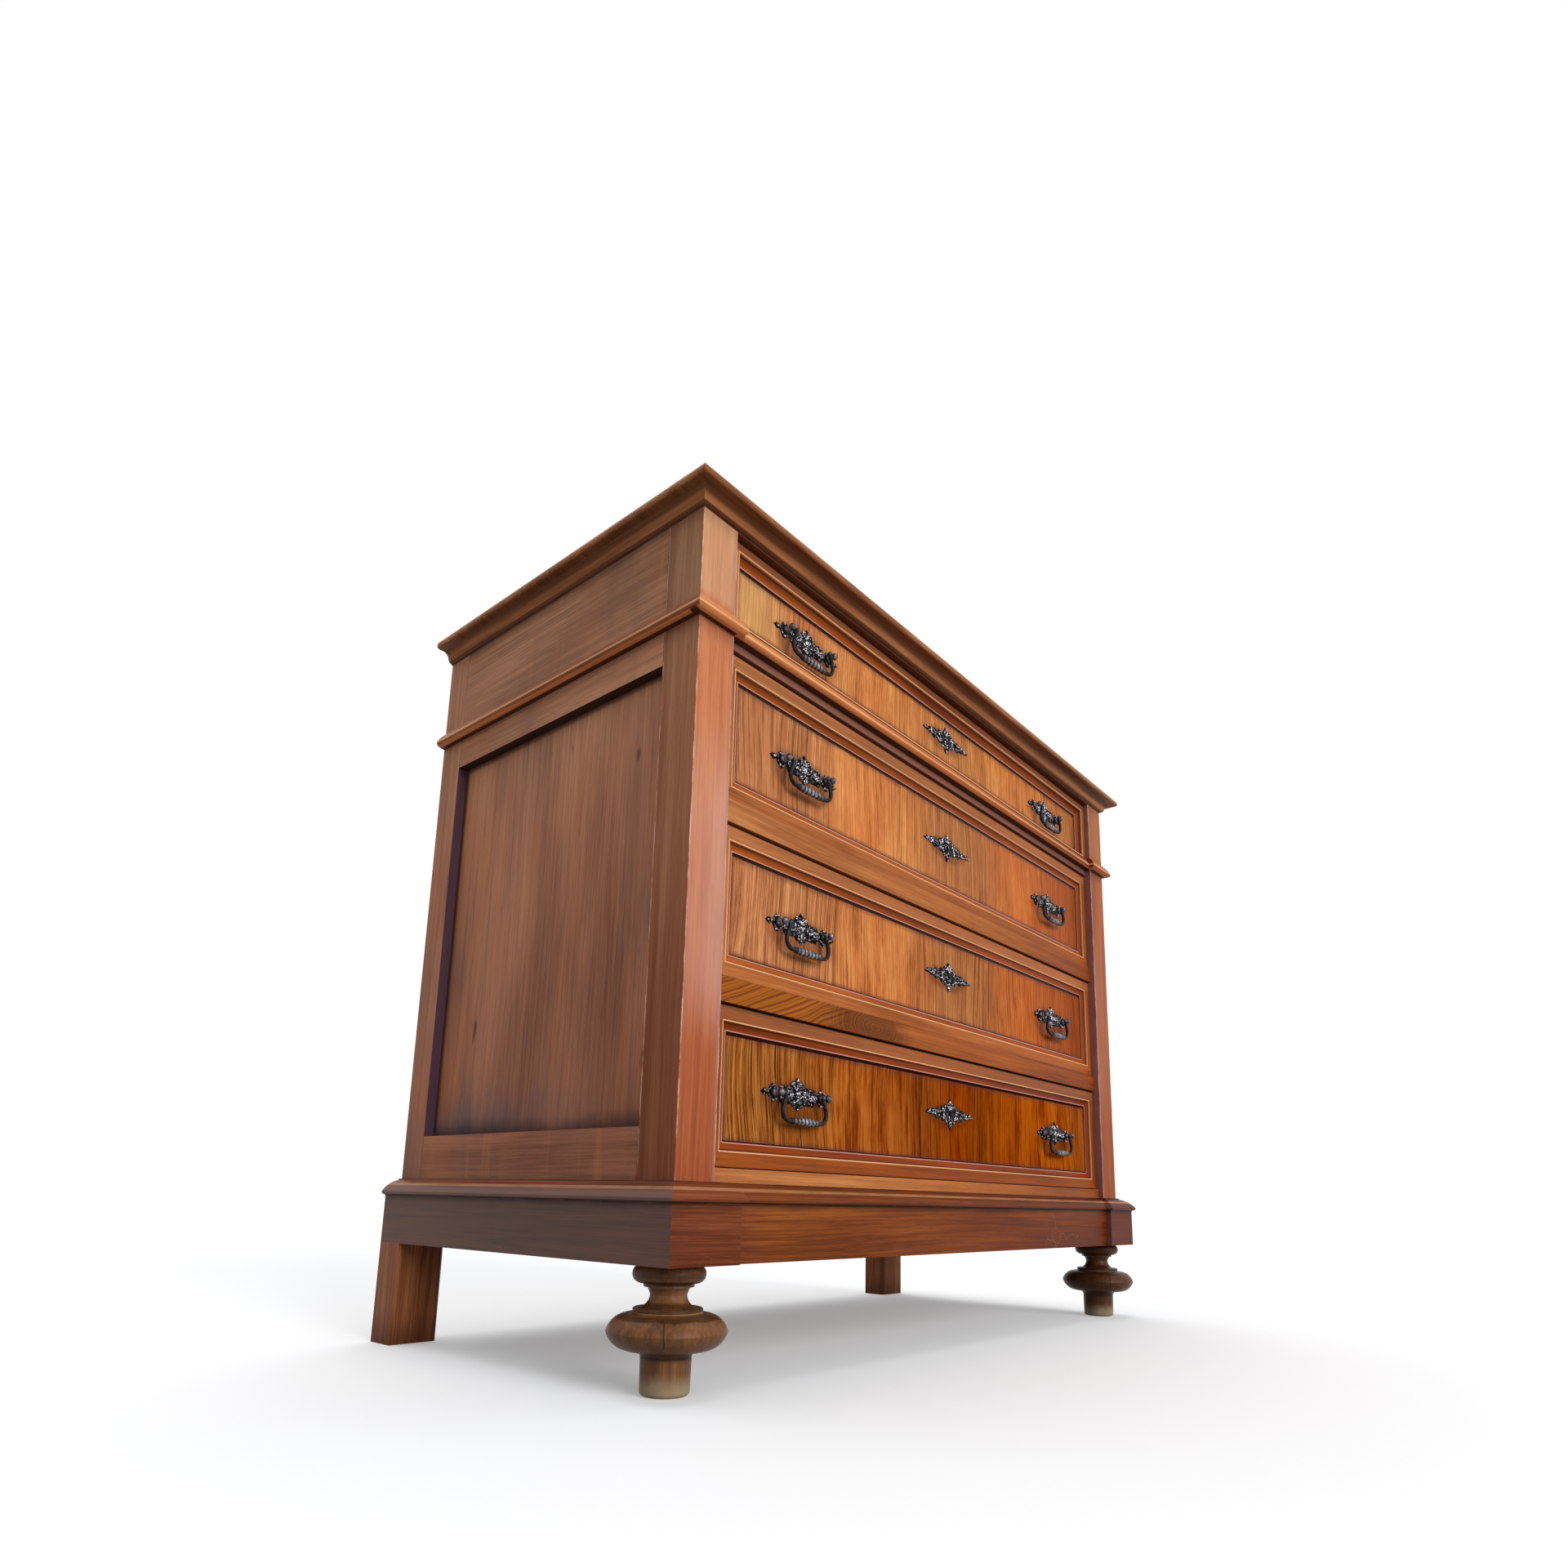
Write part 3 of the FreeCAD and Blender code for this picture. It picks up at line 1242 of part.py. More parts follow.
def swan_neck(name, direction):
    """One arm of a bail: a round bar that curves outwards and back, then round the corner."""
    fall = "(bail_drop - bail_corner_radius)"
    flare = "(bail_half_width - bail_top_half)"
    lean = f"tan(atan({flare}/{fall})/2)"
    corner = "tan(22.5)"
    path = document.addObject("Sketcher::SketchObject", f"{name}_path")
    path.Placement = FreeCAD.Placement(FreeCAD.Vector(), FreeCAD.Rotation(FreeCAD.Vector(1, 0, 0), 90))
    outline(path, [
        (f"{direction}*bail_top_half", "0", f"-({direction})*{lean}"),
        (f"{direction}*(bail_top_half + bail_half_width)/2", f"-{fall}/2", f"{direction}*{lean}"),
        (f"{direction}*bail_half_width", f"-{fall}", f"{direction}*{corner}"),
        (f"{direction}*(bail_half_width - bail_corner_radius)", "-bail_drop"),
    ], closed=False)
    section = document.addObject("Part::Circle", f"{name}_section")
    bind(section, "Radius", "bail_wire_radius")
    move_to(section, f"{direction}*bail_top_half", "0", "0")
    document.recompute()
    arm = document.addObject("Part::Sweep", name)
    arm.Sections = [section]
    arm.Spine = (path, [f"Edge{index + 1}" for index in range(len(path.Shape.Edges))])
    arm.Solid = True
    return arm


def grip(name):
    """The turned bar of a bail: it swells to its middle and carries three beads."""
    end = "bail_half_width - bail_corner_radius"
    bead = "((grip_bead_radius - grip_radius)/grip_bead_half)"
    body = document.addObject("PartDesign::Body", f"{name}_grip")
    sketch = sketch_on(body, "XY_Plane", f"{name}_grip_profile")
    outline(sketch, [
        (f"-({end})", "0"),
        (f"-({end})", "bail_wire_radius"),
        ("-3*grip_bead_half", "grip_radius", bead),
        ("-grip_bead_half", "grip_radius", bead),
        ("grip_bead_half", "grip_radius", bead),
        ("3*grip_bead_half", "grip_radius"),
        (end, "bail_wire_radius"),
        (end, "0"),
    ])
    lathe = body.newObject("PartDesign::Revolution", f"{name}_grip_turning")
    lathe.Profile = sketch
    lathe.ReferenceAxis = (sketch, ["H_Axis"])
    lathe.Angle = 360
    move_to(body, "0", "0", "-bail_drop")
    return body


def make_escutcheon(drawer):
    """A flat key plate round the keyhole."""
    name = f"drawer_{drawer}_escutcheon"
    plate = padded(f"{name}_plate", "XZ_Plane", mirrored(escutcheon_outline()), "escutcheon_thickness")
    move_to(plate, "0", "field_y - escutcheon_thickness/2", f"keyhole_z_{drawer}")
    hole = keyhole(f"{name}_keyhole", drawer, "field_y - escutcheon_thickness - mitre_spare",
                   "field_y + mitre_spare")
    node(cut(name, plate, [hole]), name)


def make_drawers():
    for drawer in DRAWERS:
        sides = [drawer_side(drawer, word, side) for word, side in SIDES.items()]
        make_drawer_front(drawer, sides)
        make_drawer_frame(drawer)
        make_drawer_box(drawer, sides)
        make_lock(drawer)
        make_handle_plates(drawer)
        for word, side in SIDES.items():
            make_bail(drawer, word, side)
        make_escutcheon(drawer)


def check():
    """Stop if any object failed or any sub-part is empty or broken."""
    for item in document.Objects:
        if "Invalid" in item.State or "Error" in item.State:
            raise RuntimeError(f"{item.Label} failed: {item.State}")
    for item in nodes:
        if item.Shape.isNull() or not item.Shape.isValid() or not item.Shape.Solids:
            raise RuntimeError(f"{item.Label} has no sound shape")


def write():
    os.makedirs("parts", exist_ok=True)
    for item in nodes:
        item.Shape.exportStep(f"parts/{item.Label}.step")
        print(f"{item.Label}: {len(item.Shape.Solids)} solids, {item.Shape.Volume:.0f} mm3")
    print(len(nodes), "nodes")


fill_sheets()
make_posts()
make_sides()
make_front_rails()
make_back()
make_top()
make_mouldings()
make_plinth()
make_feet()
make_runners()
make_drawers()
document.recompute()
check()
write()
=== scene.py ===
# Walnut chest of four drawers: grain, polish, cast bronze pulls and studio light around the frame
import bpy
import math
import numpy as np
from mathutils import Matrix, Vector


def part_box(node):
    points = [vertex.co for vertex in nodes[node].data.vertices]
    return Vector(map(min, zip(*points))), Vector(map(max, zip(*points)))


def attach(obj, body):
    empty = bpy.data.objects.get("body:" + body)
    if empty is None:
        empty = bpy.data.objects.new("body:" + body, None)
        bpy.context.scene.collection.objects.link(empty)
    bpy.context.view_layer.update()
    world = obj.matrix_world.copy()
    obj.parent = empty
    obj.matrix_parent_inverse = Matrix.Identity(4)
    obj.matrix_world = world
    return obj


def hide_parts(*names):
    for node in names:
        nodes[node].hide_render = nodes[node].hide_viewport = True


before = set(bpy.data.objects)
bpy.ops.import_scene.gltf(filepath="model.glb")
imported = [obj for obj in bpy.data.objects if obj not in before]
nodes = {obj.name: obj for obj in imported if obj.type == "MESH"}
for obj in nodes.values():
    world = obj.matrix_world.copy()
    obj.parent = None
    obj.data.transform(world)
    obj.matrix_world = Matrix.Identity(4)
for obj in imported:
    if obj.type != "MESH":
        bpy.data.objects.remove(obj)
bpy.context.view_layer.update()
print("frame loaded,", len(nodes), "nodes")

millimetre = 0.001
drawers = (1, 2, 3, 4)
sides = {"left": -1, "right": 1}

# Main levels and faces of the chest, in metres, as the frame has them
chest = {
    "fieldY": -0.23555,          # face of the drawer fields
    "handleX": 0.350,
    "pivotOut": 0.013,           # pivot line of the bails, in front of the field
    "frontThickness": 0.022,
    "handleZ": {1: 0.913, 2: 0.73375, 3: 0.52225, 4: 0.3164},
    "keyholeZ": {1: 0.918, 2: 0.73675, 3: 0.53025, 4: 0.3224},
    "frontHalf": 0.5047,         # half the width of a drawer front
    "frontFoot": {1: 0.8672, 2: 0.6457, 3: 0.4367, 4: 0.2270},
    "frontHead": {1: 0.9754, 2: 0.8284, 3: 0.6144, 4: 0.4044},
    "railOverFourth": (0.4035, 0.4365),
    "plinthTop": 0.1876,
    "waistUnderside": 0.8406,
    "corniceUnderside": 0.9788,
    "sideSeams": (-0.19755, 0.24005),    # where the side boards meet the posts
    "footX": 0.5353,
    "footY": -0.22565,
}

# The outer corner of each mitred moulding: half its width, and its front face
outerCorner = {
    "cornice_moulding": (0.5833, -0.27655),
    "waist_moulding": (0.5753, -0.26855),
    "base_moulding": (0.5888, -0.2820),
    "plinth": (0.5832, -0.27645),
}

# Members of the frames round the fields, for each drawer
frameSize = {
    "member": {1: 0.0225, 2: 0.028, 3: 0.028, 4: 0.028},
    "flat": {1: 0.0120, 2: 0.0175, 3: 0.0175, 4: 0.0175},
    "footLess": {1: 0.010, 2: 0.0, 3: 0.0, 4: 0.0},      # how much narrower the foot member is
    "footSlope": {1: 1.8, 2: 1.0, 3: 1.0, 4: 1.0},       # and how its mitre leans for that
    "wallFrom": 0.0100,          # from the flat to the wall at the field
}


# Camera, where a perspective fit of the photograph puts it

lensView = {
    "place": (-1.2264, -0.97015, 0.1939),
    "right": (0.6499, -0.7596, 0.0229),
    "up": (-0.1619, -0.1089, 0.9808),
    "lens": 21.902,
    "shiftX": -0.0007,
    "shiftY": 0.145,
    "clipEnd": 100.0,
}


def makeCamera():
    camera = bpy.data.objects.new("camera", bpy.data.cameras.new("camera"))
    bpy.context.scene.collection.objects.link(camera)
    right = Vector(lensView["right"]).normalized()
    back = right.cross(Vector(lensView["up"])).normalized()
    turn = Matrix((right, back.cross(right), back)).transposed()
    camera.matrix_world = Matrix.Translation(lensView["place"]) @ turn.to_4x4()
    camera.data.lens = lensView["lens"]
    camera.data.shift_x = lensView["shiftX"]
    camera.data.shift_y = lensView["shiftY"]
    camera.data.clip_end = lensView["clipEnd"]
    bpy.context.scene.camera = camera


# Short words for shader nodes

def paint(red, green, blue):
    # a screen colour from 0 to 255, made linear
    share = np.array([red, green, blue])/255.0
    linear = np.where(share <= 0.04045, share/12.92, ((share + 0.055)/1.055)**2.4)
    return (*[float(part) for part in linear], 1.0)


class nodeValue:
    # a socket of a node tree; arithmetic on it adds the Math or Vector Math node that works it out
    def __init__(self, tree, socket):
        self.tree = tree
        self.socket = socket

    def worked(self, operation, *terms, output=0):
        kind = "Math" if self.socket.type == "VALUE" else "VectorMath"
        node = shaderNode(self.tree, kind, dict(enumerate(terms)), operation=operation)
        return nodeValue(self.tree, node.outputs[output])

    def __add__(self, other):
        return self.worked("ADD", self, other)

    def __sub__(self, other):
        return self.worked("SUBTRACT", self, other)

    def __rsub__(self, other):
        return self.worked("SUBTRACT", other, self)

    def __mul__(self, other):
        return self.worked("MULTIPLY", self, other)

    def __truediv__(self, other):
        return self.worked("DIVIDE", self, other)

    def __lt__(self, other):
        return self.worked("LESS_THAN", self, other)

    def __gt__(self, other):
        return self.worked("GREATER_THAN", self, other)

    def __abs__(self):
        return self.worked("ABSOLUTE", self)


def feed(tree, socket, source):
    if isinstance(source, nodeValue):
        tree.links.new(source.socket, socket)
    else:
        socket.default_value = source


def feedAll(tree, node, sources):
    for socket, source in sources.items():
        feed(tree, node.inputs[socket], source)


def shaderNode(tree, kind, sources=None, **settings):
    node = tree.nodes.new("ShaderNode" + kind)
    for word, setting in settings.items():
        setattr(node, word, setting)
    feedAll(tree, node, sources or {})
    return node


def least(first, *others):
    for other in others:
        first = first.worked("MINIMUM", first, other)
    return first


def most(first, *others):
    for other in others:
        first = first.worked("MAXIMUM", first, other)
    return first


def rootOf(value):
    return value.worked("SQRT", value)


def lengthOf(vector):
    return vector.worked("LENGTH", vector, output="Value")


def axesOf(vector):
    node = shaderNode(vector.tree, "SeparateXYZ", {0: vector})
    return [nodeValue(vector.tree, socket) for socket in node.outputs]


def joined(tree, x, y, z):
    return nodeValue(tree, shaderNode(tree, "CombineXYZ", {0: x, 1: y, 2: z}).outputs[0])


def objectPlace(tree):
    return nodeValue(tree, shaderNode(tree, "TexCoord").outputs["Object"])


def noise(vector, scale, detail=2.0, roughness=0.5, output="Fac"):
    # noise whose grid is scale cells per metre, one number or one for each axis
    cells = (scale, scale, scale) if isinstance(scale, float) else scale
    node = shaderNode(vector.tree, "TexNoise", {"Vector": vector*cells, "Scale": 1.0, "Detail": detail,
                                                "Roughness": roughness})
    return nodeValue(vector.tree, node.outputs[output])


def wobble(vector, scale, detail=2.0, roughness=0.5):
    # noise that goes both ways from nothing
    return noise(vector, scale, detail, roughness) - 0.5


def lineNoise(along, detail, roughness):
    # noise of one number, for layers of growth
    node = shaderNode(along.tree, "TexNoise", {"W": along, "Scale": 1.0, "Detail": detail,
                                               "Roughness": roughness}, noise_dimensions="1D")
    return nodeValue(along.tree, node.outputs["Fac"])


def cellsOf(vector, scale, feature):
    node = shaderNode(vector.tree, "TexVoronoi", {"Vector": vector, "Scale": scale}, feature=feature)
    return nodeValue(vector.tree, node.outputs["Distance"])


def spanOf(value, low, high, start=0.0, end=1.0, way="SMOOTHSTEP"):
    # value between low and high becomes start to end, eased, and stays there outside
    node = shaderNode(value.tree, "MapRange", {"Value": value, "From Min": low, "From Max": high,
                                               "To Min": start, "To Max": end}, interpolation_type=way)
    return nodeValue(value.tree, node.outputs[0])


def layer(vector, scale, detail, roughness, low, high):
    # noise drawn apart, 0 from low downwards and 1 from high upwards
    return spanOf(noise(vector, scale, detail, roughness), low, high)


def bandOf(value, level, half, core):
    # 1 within core of a level, fading to 0 at half from it
    return spanOf(abs(value - level), half, core)


def blend(factor, first, second, way="MIX"):
    tree = next(item.tree for item in (factor, first, second) if isinstance(item, nodeValue))
    node = shaderNode(tree, "Mix", data_type="RGBA", blend_type=way)
    feedAll(tree, node, {0: factor, 6: first, 7: second})
    return nodeValue(tree, node.outputs[2])


def rampOf(value, stops, interpolation="EASE"):
    # stops of (place, colour): a screen colour, or one number for a grey of that strength
    node = shaderNode(value.tree, "ValToRGB", {"Fac": value})
    ramp = node.color_ramp
    ramp.interpolation = interpolation
    while len(ramp.elements) < len(stops):
        ramp.elements.new(0.5)
    for element, (position, tone) in zip(ramp.elements, stops):
        element.position = position
        element.color = (tone, tone, tone, 1.0) if isinstance(tone, float) else paint(*tone)
    return nodeValue(value.tree, node.outputs["Color"])


def bumpOf(height, strength, distance):
    sources = {"Height": height, "Strength": strength, "Distance": distance}
    return nodeValue(height.tree, shaderNode(height.tree, "Bump", sources).outputs["Normal"])


def newMaterial(name):
    material = bpy.data.materials.new(name)
    material.use_nodes = True
    tree = material.node_tree
    tree.nodes.clear()
    shader = shaderNode(tree, "BsdfPrincipled")
    output = shaderNode(tree, "OutputMaterial")
    tree.links.new(shader.outputs[0], output.inputs["Surface"])
    return material, tree, shader


class surfaceCoat:
    # colour and roughness of a material, while its marks are laid on one after another
    def __init__(self, tree, colour, rough):
        self.place = objectPlace(tree)
        self.colour = colour
        self.rough = rough

    def along(self, axis):
        return axesOf(self.place)["xyz".index(axis)]

    def facing(self, axis):
        # the surface's own direction, which tells soffits and side faces from the rest
        tree = self.place.tree
        normal = nodeValue(tree, shaderNode(tree, "TexCoord").outputs["Normal"])
        return axesOf(normal)["xyz".index(axis)]

    def stain(self, factor, tone, amount=1.0, way="MIX"):
        # the tone, a screen colour or one worked out by nodes, over the colour by factor*amount
        laid = tone if isinstance(tone, nodeValue) else paint(*tone)
        self.colour = blend(factor if amount == 1.0 else factor*amount, self.colour, laid, way)


# Walnut. The grain runs along the third axis of its own coordinates. Growth layers are rings
# round a heart that lies beside or behind the board, bent by slow noise

def grainAlong(tree, direction):
    x, y, z = axesOf(objectPlace(tree))
    return joined(tree, *{"x": (y, z, x), "y": (x, z, y), "z": (x, y, z)}[direction])


def grainTurned(mask, first, second):
    # the grain of one length where the mask is 0 and of the other where it is 1
    node = shaderNode(mask.tree, "Mix", data_type="VECTOR")
    feedAll(mask.tree, node, {0: mask, 4: grainAlong(mask.tree, first), 5: grainAlong(mask.tree, second)})
    return nodeValue(mask.tree, node.outputs[1])


def mitredGrain(name):
    # along the front length of a moulding and back along its sides, parted at the corner's mitre
    outerX, outerY = outerCorner[name]

    def grain(tree):
        x, y, z = axesOf(objectPlace(tree))
        return grainTurned(outerX - abs(x) < y - outerY, "x", "y")
    return grain


def fromEdges(place, drawer, inset=0.0):
    # how far a point lies inside the sides, the foot and the head of a drawer's frame
    x, y, z = axesOf(place)
    foot = chest["frontFoot"][drawer] - frameSize["footLess"][drawer] + inset
    return chest["frontHalf"] - inset - abs(x), z - foot, chest["frontHead"][drawer] - inset - z


def frameGrain(drawer):
    # along the head and foot members of a drawer's frame, and up its two sides
    def grain(tree):
        inward, fromFoot, fromHead = fromEdges(objectPlace(tree), drawer)
        fromFoot = (fromFoot - frameSize["footLess"][drawer])*frameSize["footSlope"][drawer]
        return grainTurned(inward < least(fromFoot, fromHead), "x", "z")
    return grain


def boxGrain(tree):
    # back along the sides of a drawer's box, and across on its bottom and back
    x, y, z = axesOf(objectPlace(tree))
    return grainTurned(abs(x) > 0.4905, "x", "y")


def boardPhase(tree, boards):
    # a random number for each board: (axis, width of a board, where the first begins)
    axis, step, start = boards
    along = (axesOf(objectPlace(tree))["xyz".index(axis)] - start)/step
    count = along.worked("FLOOR", along)
    node = shaderNode(tree, "TexWhiteNoise", {"W": count}, noise_dimensions="1D")
    return nodeValue(tree, node.outputs["Value"])


woodLook = {
    "dark": (104, 54, 26),
    "middle": (158, 92, 48),
    "light": (190, 120, 70),
    "streak": (66, 32, 16),
    "heart": (0.45, 0.12),       # metres from the grain axis
    "ringRate": 38.0,            # growth bands per metre
    "warp": 0.020,               # metres that the grain wanders
    "warpScale": (5.0, 5.0, 1.3),            # scales are cells per metre along each axis
    "drawnScale": (90.0, 90.0, 4.0),         # long streaks of many sizes
    "fibreScale": (380.0, 380.0, 6.0),
    "cloudScale": (9.0, 9.0, 2.3),
    "brokenScale": (30.0, 30.0, 3.0),        # breaks in the dark streaks
    "poreScale": (1500.0, 1500.0, 46.0),
    "figure": 0.18,
    "streaky": 0.30,
    "fibre": 0.26,
    "cloud": 0.26,
    "streakAmount": 0.40,
    "pores": 0.30,
    "roughness": 0.40,
    "specular": 0.06,
    "bump": 0.25,
    "seed": 0.0,
}


def walnut(name, grain, boards=None, marks=(), **changes):
    # tone = growth bands + long streaks + fibre + cloud, each a noise, coloured from dark to light
    look = dict(woodLook, **changes)
    material, tree, shader = newMaterial(name)
    base = grain(tree) if callable(grain) else grainAlong(tree, grain)
    phase = boardPhase(tree, boards) if boards else look["seed"]*0.37
    shift = joined(tree, look["seed"], look["seed"]*0.7, phase*9.0 + look["seed"])
    apart = base + shift
    wander = noise(apart, look["warpScale"], output="Color") - (0.5, 0.5, 0.5)
    bent = base + wander*(look["warp"], look["warp"], 0.0)
    u, v, w = axesOf(bent - (*look["heart"], 0.0))
    ring = rootOf(u*u + v*v)*look["ringRate"] + phase*61.0
    figure = spanOf(lineNoise(ring, 5.0, 0.66), 0.28, 0.72)
    apartBent = bent + shift
    drawn = layer(apartBent, look["drawnScale"], 5.0, 0.66, 0.30, 0.70)
    fibre = layer(apartBent, look["fibreScale"], 3.0, 0.7, 0.32, 0.68)
    cloud = layer(apart, look["cloudScale"], 3.0, 0.5, 0.30, 0.70)
    tone = figure*look["figure"] + drawn*look["streaky"] + fibre*look["fibre"] + cloud*look["cloud"]
    colour = rampOf(tone, ((0.12, look["dark"]), (0.50, look["middle"]), (0.88, look["light"])), "LINEAR")
    coat = surfaceCoat(tree, colour, fibre*0.10 + (look["roughness"] - 0.05))
    streaks = spanOf(lineNoise(ring*1.7 + 5.0, 4.0, 0.7), 0.58, 0.74)
    broken = layer(apartBent, look["brokenScale"], 2.0, 0.5, 0.35, 0.65)
    coat.stain(streaks*broken, look["streak"], look["streakAmount"])
    pores = layer(apartBent, look["poreScale"], 1.0, 0.5, 0.60, 0.72)
    coat.stain(pores, look["streak"], look["pores"])
    for mark in marks:
        mark(coat)
    feedAll(tree, shader, {"Base Color": coat.colour, "Roughness": coat.rough,
                           "Specular IOR Level": look["specular"],
                           "Normal": bumpOf(fibre*0.5 - pores, look["bump"], 0.0003)})
    return material


# Marks of use and polish, and of painted light and shade. Each is a function that changes the coat it is
# given

def wornEdges(low, high, reach, worn, amount):
    # paler along the edges of a box, where two of its faces are near, broken by noise
    def mark(coat):
        a, b, c = [least(value - low[axis], float(high[axis]) - value)
                   for axis, value in enumerate(axesOf(coat.place))]
        near = spanOf(most(least(a, b), least(most(a, b), c)), reach, 0.0002)
        coat.stain(near*layer(coat.place, 38.0, 3.0, 0.6, 0.38, 0.66), worn, amount)
    return mark


def scuffs(amount, seed=0.0):
    # thin pale scratches, here and there
    def mark(coat):
        place = coat.place + (seed, seed*1.7, seed*0.3)
        crossed = place + noise(place, 9.0, output="Color")*(0.35, 0.35, 0.35)
        thin = cellsOf(crossed*(3.0, 3.0, 11.0), 1.6, "DISTANCE_TO_EDGE")
        seldom = layer(place, 6.0, 2.0, 0.5, 0.56, 0.68)
        coat.stain(spanOf(thin, 0.0045, 0.0010)*seldom, (205, 160, 125), amount)
    return mark


def paintedSoffitShade(amount, darkTone=(26, 13, 8), start=-0.10, end=-0.70):
    # painted shade where the surface looks down, darkening every soffit, with some old wax in it
    def mark(coat):
        coat.stain(spanOf(coat.facing("z"), start, end), darkTone, amount)
    return mark


def towards(axis, sign, tone, amount=1.0, way="MULTIPLY"):
    # another tone on faces that look along an axis, painted there for how the light falls on them; sign 0
    # takes both directions
    def mark(coat):
        aim = coat.facing(axis)
        coat.stain(spanOf(aim*float(sign) if sign else abs(aim), 0.50, 0.80), tone, amount, way)
    return mark


def tinted(axis, *stops, wander=0.05):
    # multiplied by a colour that changes along one axis, from stop to stop of (metres, colour); each use
    # paints shade that deepens along it
    def mark(coat):
        along = coat.along(axis) + wobble(coat.place, 5.0)*wander
        low, high = stops[0][0], stops[-1][0]
        tint = rampOf(spanOf(along, low, high, way="LINEAR"),
                      [((spot - low)/(high - low), tone) for spot, tone in stops], "LINEAR")
        coat.stain(1.0, tint, way="MULTIPLY")
    return mark


def lineAt(axis, level, half=0.0008, tone=(30, 16, 12), amount=0.8, broken=0.5):
    # a thin line at one level of an axis: a joint, a shadow or a rubbed edge
    def mark(coat):
        patchy = spanOf(noise(coat.place, 26.0, 3.0, 0.6), 0.30, 0.60, 1.0 - broken, 1.0)
        coat.stain(bandOf(coat.along(axis), level, half, half*0.4)*patchy, tone, amount)
    return mark


def shadeBelow(level, depth, tone, amount):
    # a soft shade that fades downwards from a level
    def mark(coat):
        z = coat.along("z")
        uneven = noise(coat.place, 20.0)*(depth*0.5)
        near = spanOf(z - uneven, level - depth, level - depth*0.1)
        coat.stain(near*(z < level + 0.0006), tone, amount)
    return mark


def specks(seed, rate):
    # few small knots and worm marks, longer than wide
    def mark(coat):
        place = coat.place + (seed, seed*0.6, seed*1.9)
        coat.stain(layer(place, (rate, rate, rate*0.45), 1.0, 0.4, 0.765, 0.81), (50, 30, 24), 0.75)
    return mark


def grime(axis, low, high, amount, darkTone=(46, 26, 18)):
    # darker and duller from high down to low along one axis, with a cloudy limit
    def mark(coat):
        along = coat.along(axis) + wobble(coat.place, 14.0, 3.0, 0.6)*(high - low)
        factor = spanOf(along, high, low)*amount
        coat.stain(factor, darkTone)
        coat.rough = coat.rough + factor*0.25
    return mark


# Veneer of the drawer fields: upright stripes, and smooth orange flames in bands of their own

fieldLook = {
    "striped": ((0.20, (124, 70, 38)), (0.52, (190, 120, 74)), (0.80, (226, 158, 106))),
    "flamed": ((0.20, (168, 84, 36)), (0.47, (225, 134, 72)), (0.78, (250, 170, 100))),
    "streak": (66, 30, 8),
    "core": ((0.3, (112, 76, 44)), (0.7, (140, 100, 62))),      # edges and inside of the front
    "bands": {                   # across the front: (place from 0 to 1, share of flame)
        1: ((0.0, 0.15), (0.14, 0.35), (0.30, 0.85), (0.42, 0.55), (0.55, 0.25), (0.68, 0.75),
            (0.84, 0.45), (1.0, 0.2)),
        2: ((0.0, 0.05), (0.15, 0.10), (0.27, 0.95), (0.38, 0.90), (0.50, 0.30), (0.60, 0.25),
            (0.72, 0.90), (0.84, 0.25)),
        3: ((0.0, 0.05), (0.15, 0.12), (0.26, 0.90), (0.37, 0.95), (0.49, 0.35), (0.60, 0.30),
            (0.71, 0.95), (0.84, 0.20)),
        4: ((0.0, 0.10), (0.13, 0.20), (0.27, 0.95), (0.37, 0.80), (0.42, 0.05), (0.52, 0.85),
            (0.57, 0.10), (0.72, 0.95)),
    },
    "depth": {1: 0.60, 2: 0.70, 3: 0.76, 4: 0.92},          # how dark the dark streaks get
    "spread": {1: 0.85, 2: 0.72, 3: 0.85, 4: 1.60},         # how far the stripes part in tone
    "sheen": {1: 0.06, 2: 0.05, 3: 0.03, 4: 0.0},
    "tints": {                   # left, middle and right of each field, multiplied over its colour: the veneer's own tone with painted shade, deepest on drawer 4 and towards the right
        1: ((254, 255, 255), (236, 234, 194), (254, 240, 176)),
        2: ((255, 255, 255), (230, 226, 200), (226, 166, 30)),
        3: ((255, 255, 255), (218, 214, 190), (220, 152, 10)),
        4: ((216, 202, 150), (162, 108, 6), (192, 152, 56)),
    },
    "seeds": {1: 3.1, 2: 7.4, 3: 7.9, 4: 12.6},
    "paleEnd": (232, 184, 112),  # left end of drawer 1
    # painted shade at the right end of each field, beside the frame
    "rightEndShade": (112, 58, 24),
    "waxAndShade": (92, 52, 50),         # dirt of wax along the frame with painted shade in it, and the painted shadow line right against the frame
    "frameShadowLine": (32, 8, 4),
    # dark round the hardware: wood darkened by hands, and painted shadow of the bronze
    "handledAndShaded": (84, 38, 18),
    "pullHalo": (0.066, 0.030, 1.0),     # how far the handling and the painted shadow reach round a pull
    "keyHalo": (0.058, 0.020, 1.0),
    # painted shade inside the open keyhole
    "keyhole": (12, 8, 6),
    "keyholeHalf": (0.0034, 0.0072),
}


def fieldRim(coat, drawer):
    # dirt that wax has left against the frame, with painted shade in it, deepest under the head member
    inward, fromFoot, fromHead = fromEdges(coat.place, drawer, frameSize["member"][drawer])
    fromHead = fromHead*0.55
    nearest = least(inward, fromFoot, fromHead)
    uneven = noise(coat.place, 40.0)*0.005
    coat.stain(spanOf(nearest - uneven, 0.0045, -0.0015), fieldLook["waxAndShade"], 0.60)
    # a painted shadow line right against the frame, wider under the head member, where the moulding stands
    # over the field
    rim = most(spanOf(nearest, 0.0015, 0.0009), spanOf(fromHead, 0.0024, 0.0018))
    coat.stain(rim, fieldLook["frameShadowLine"], 0.94)


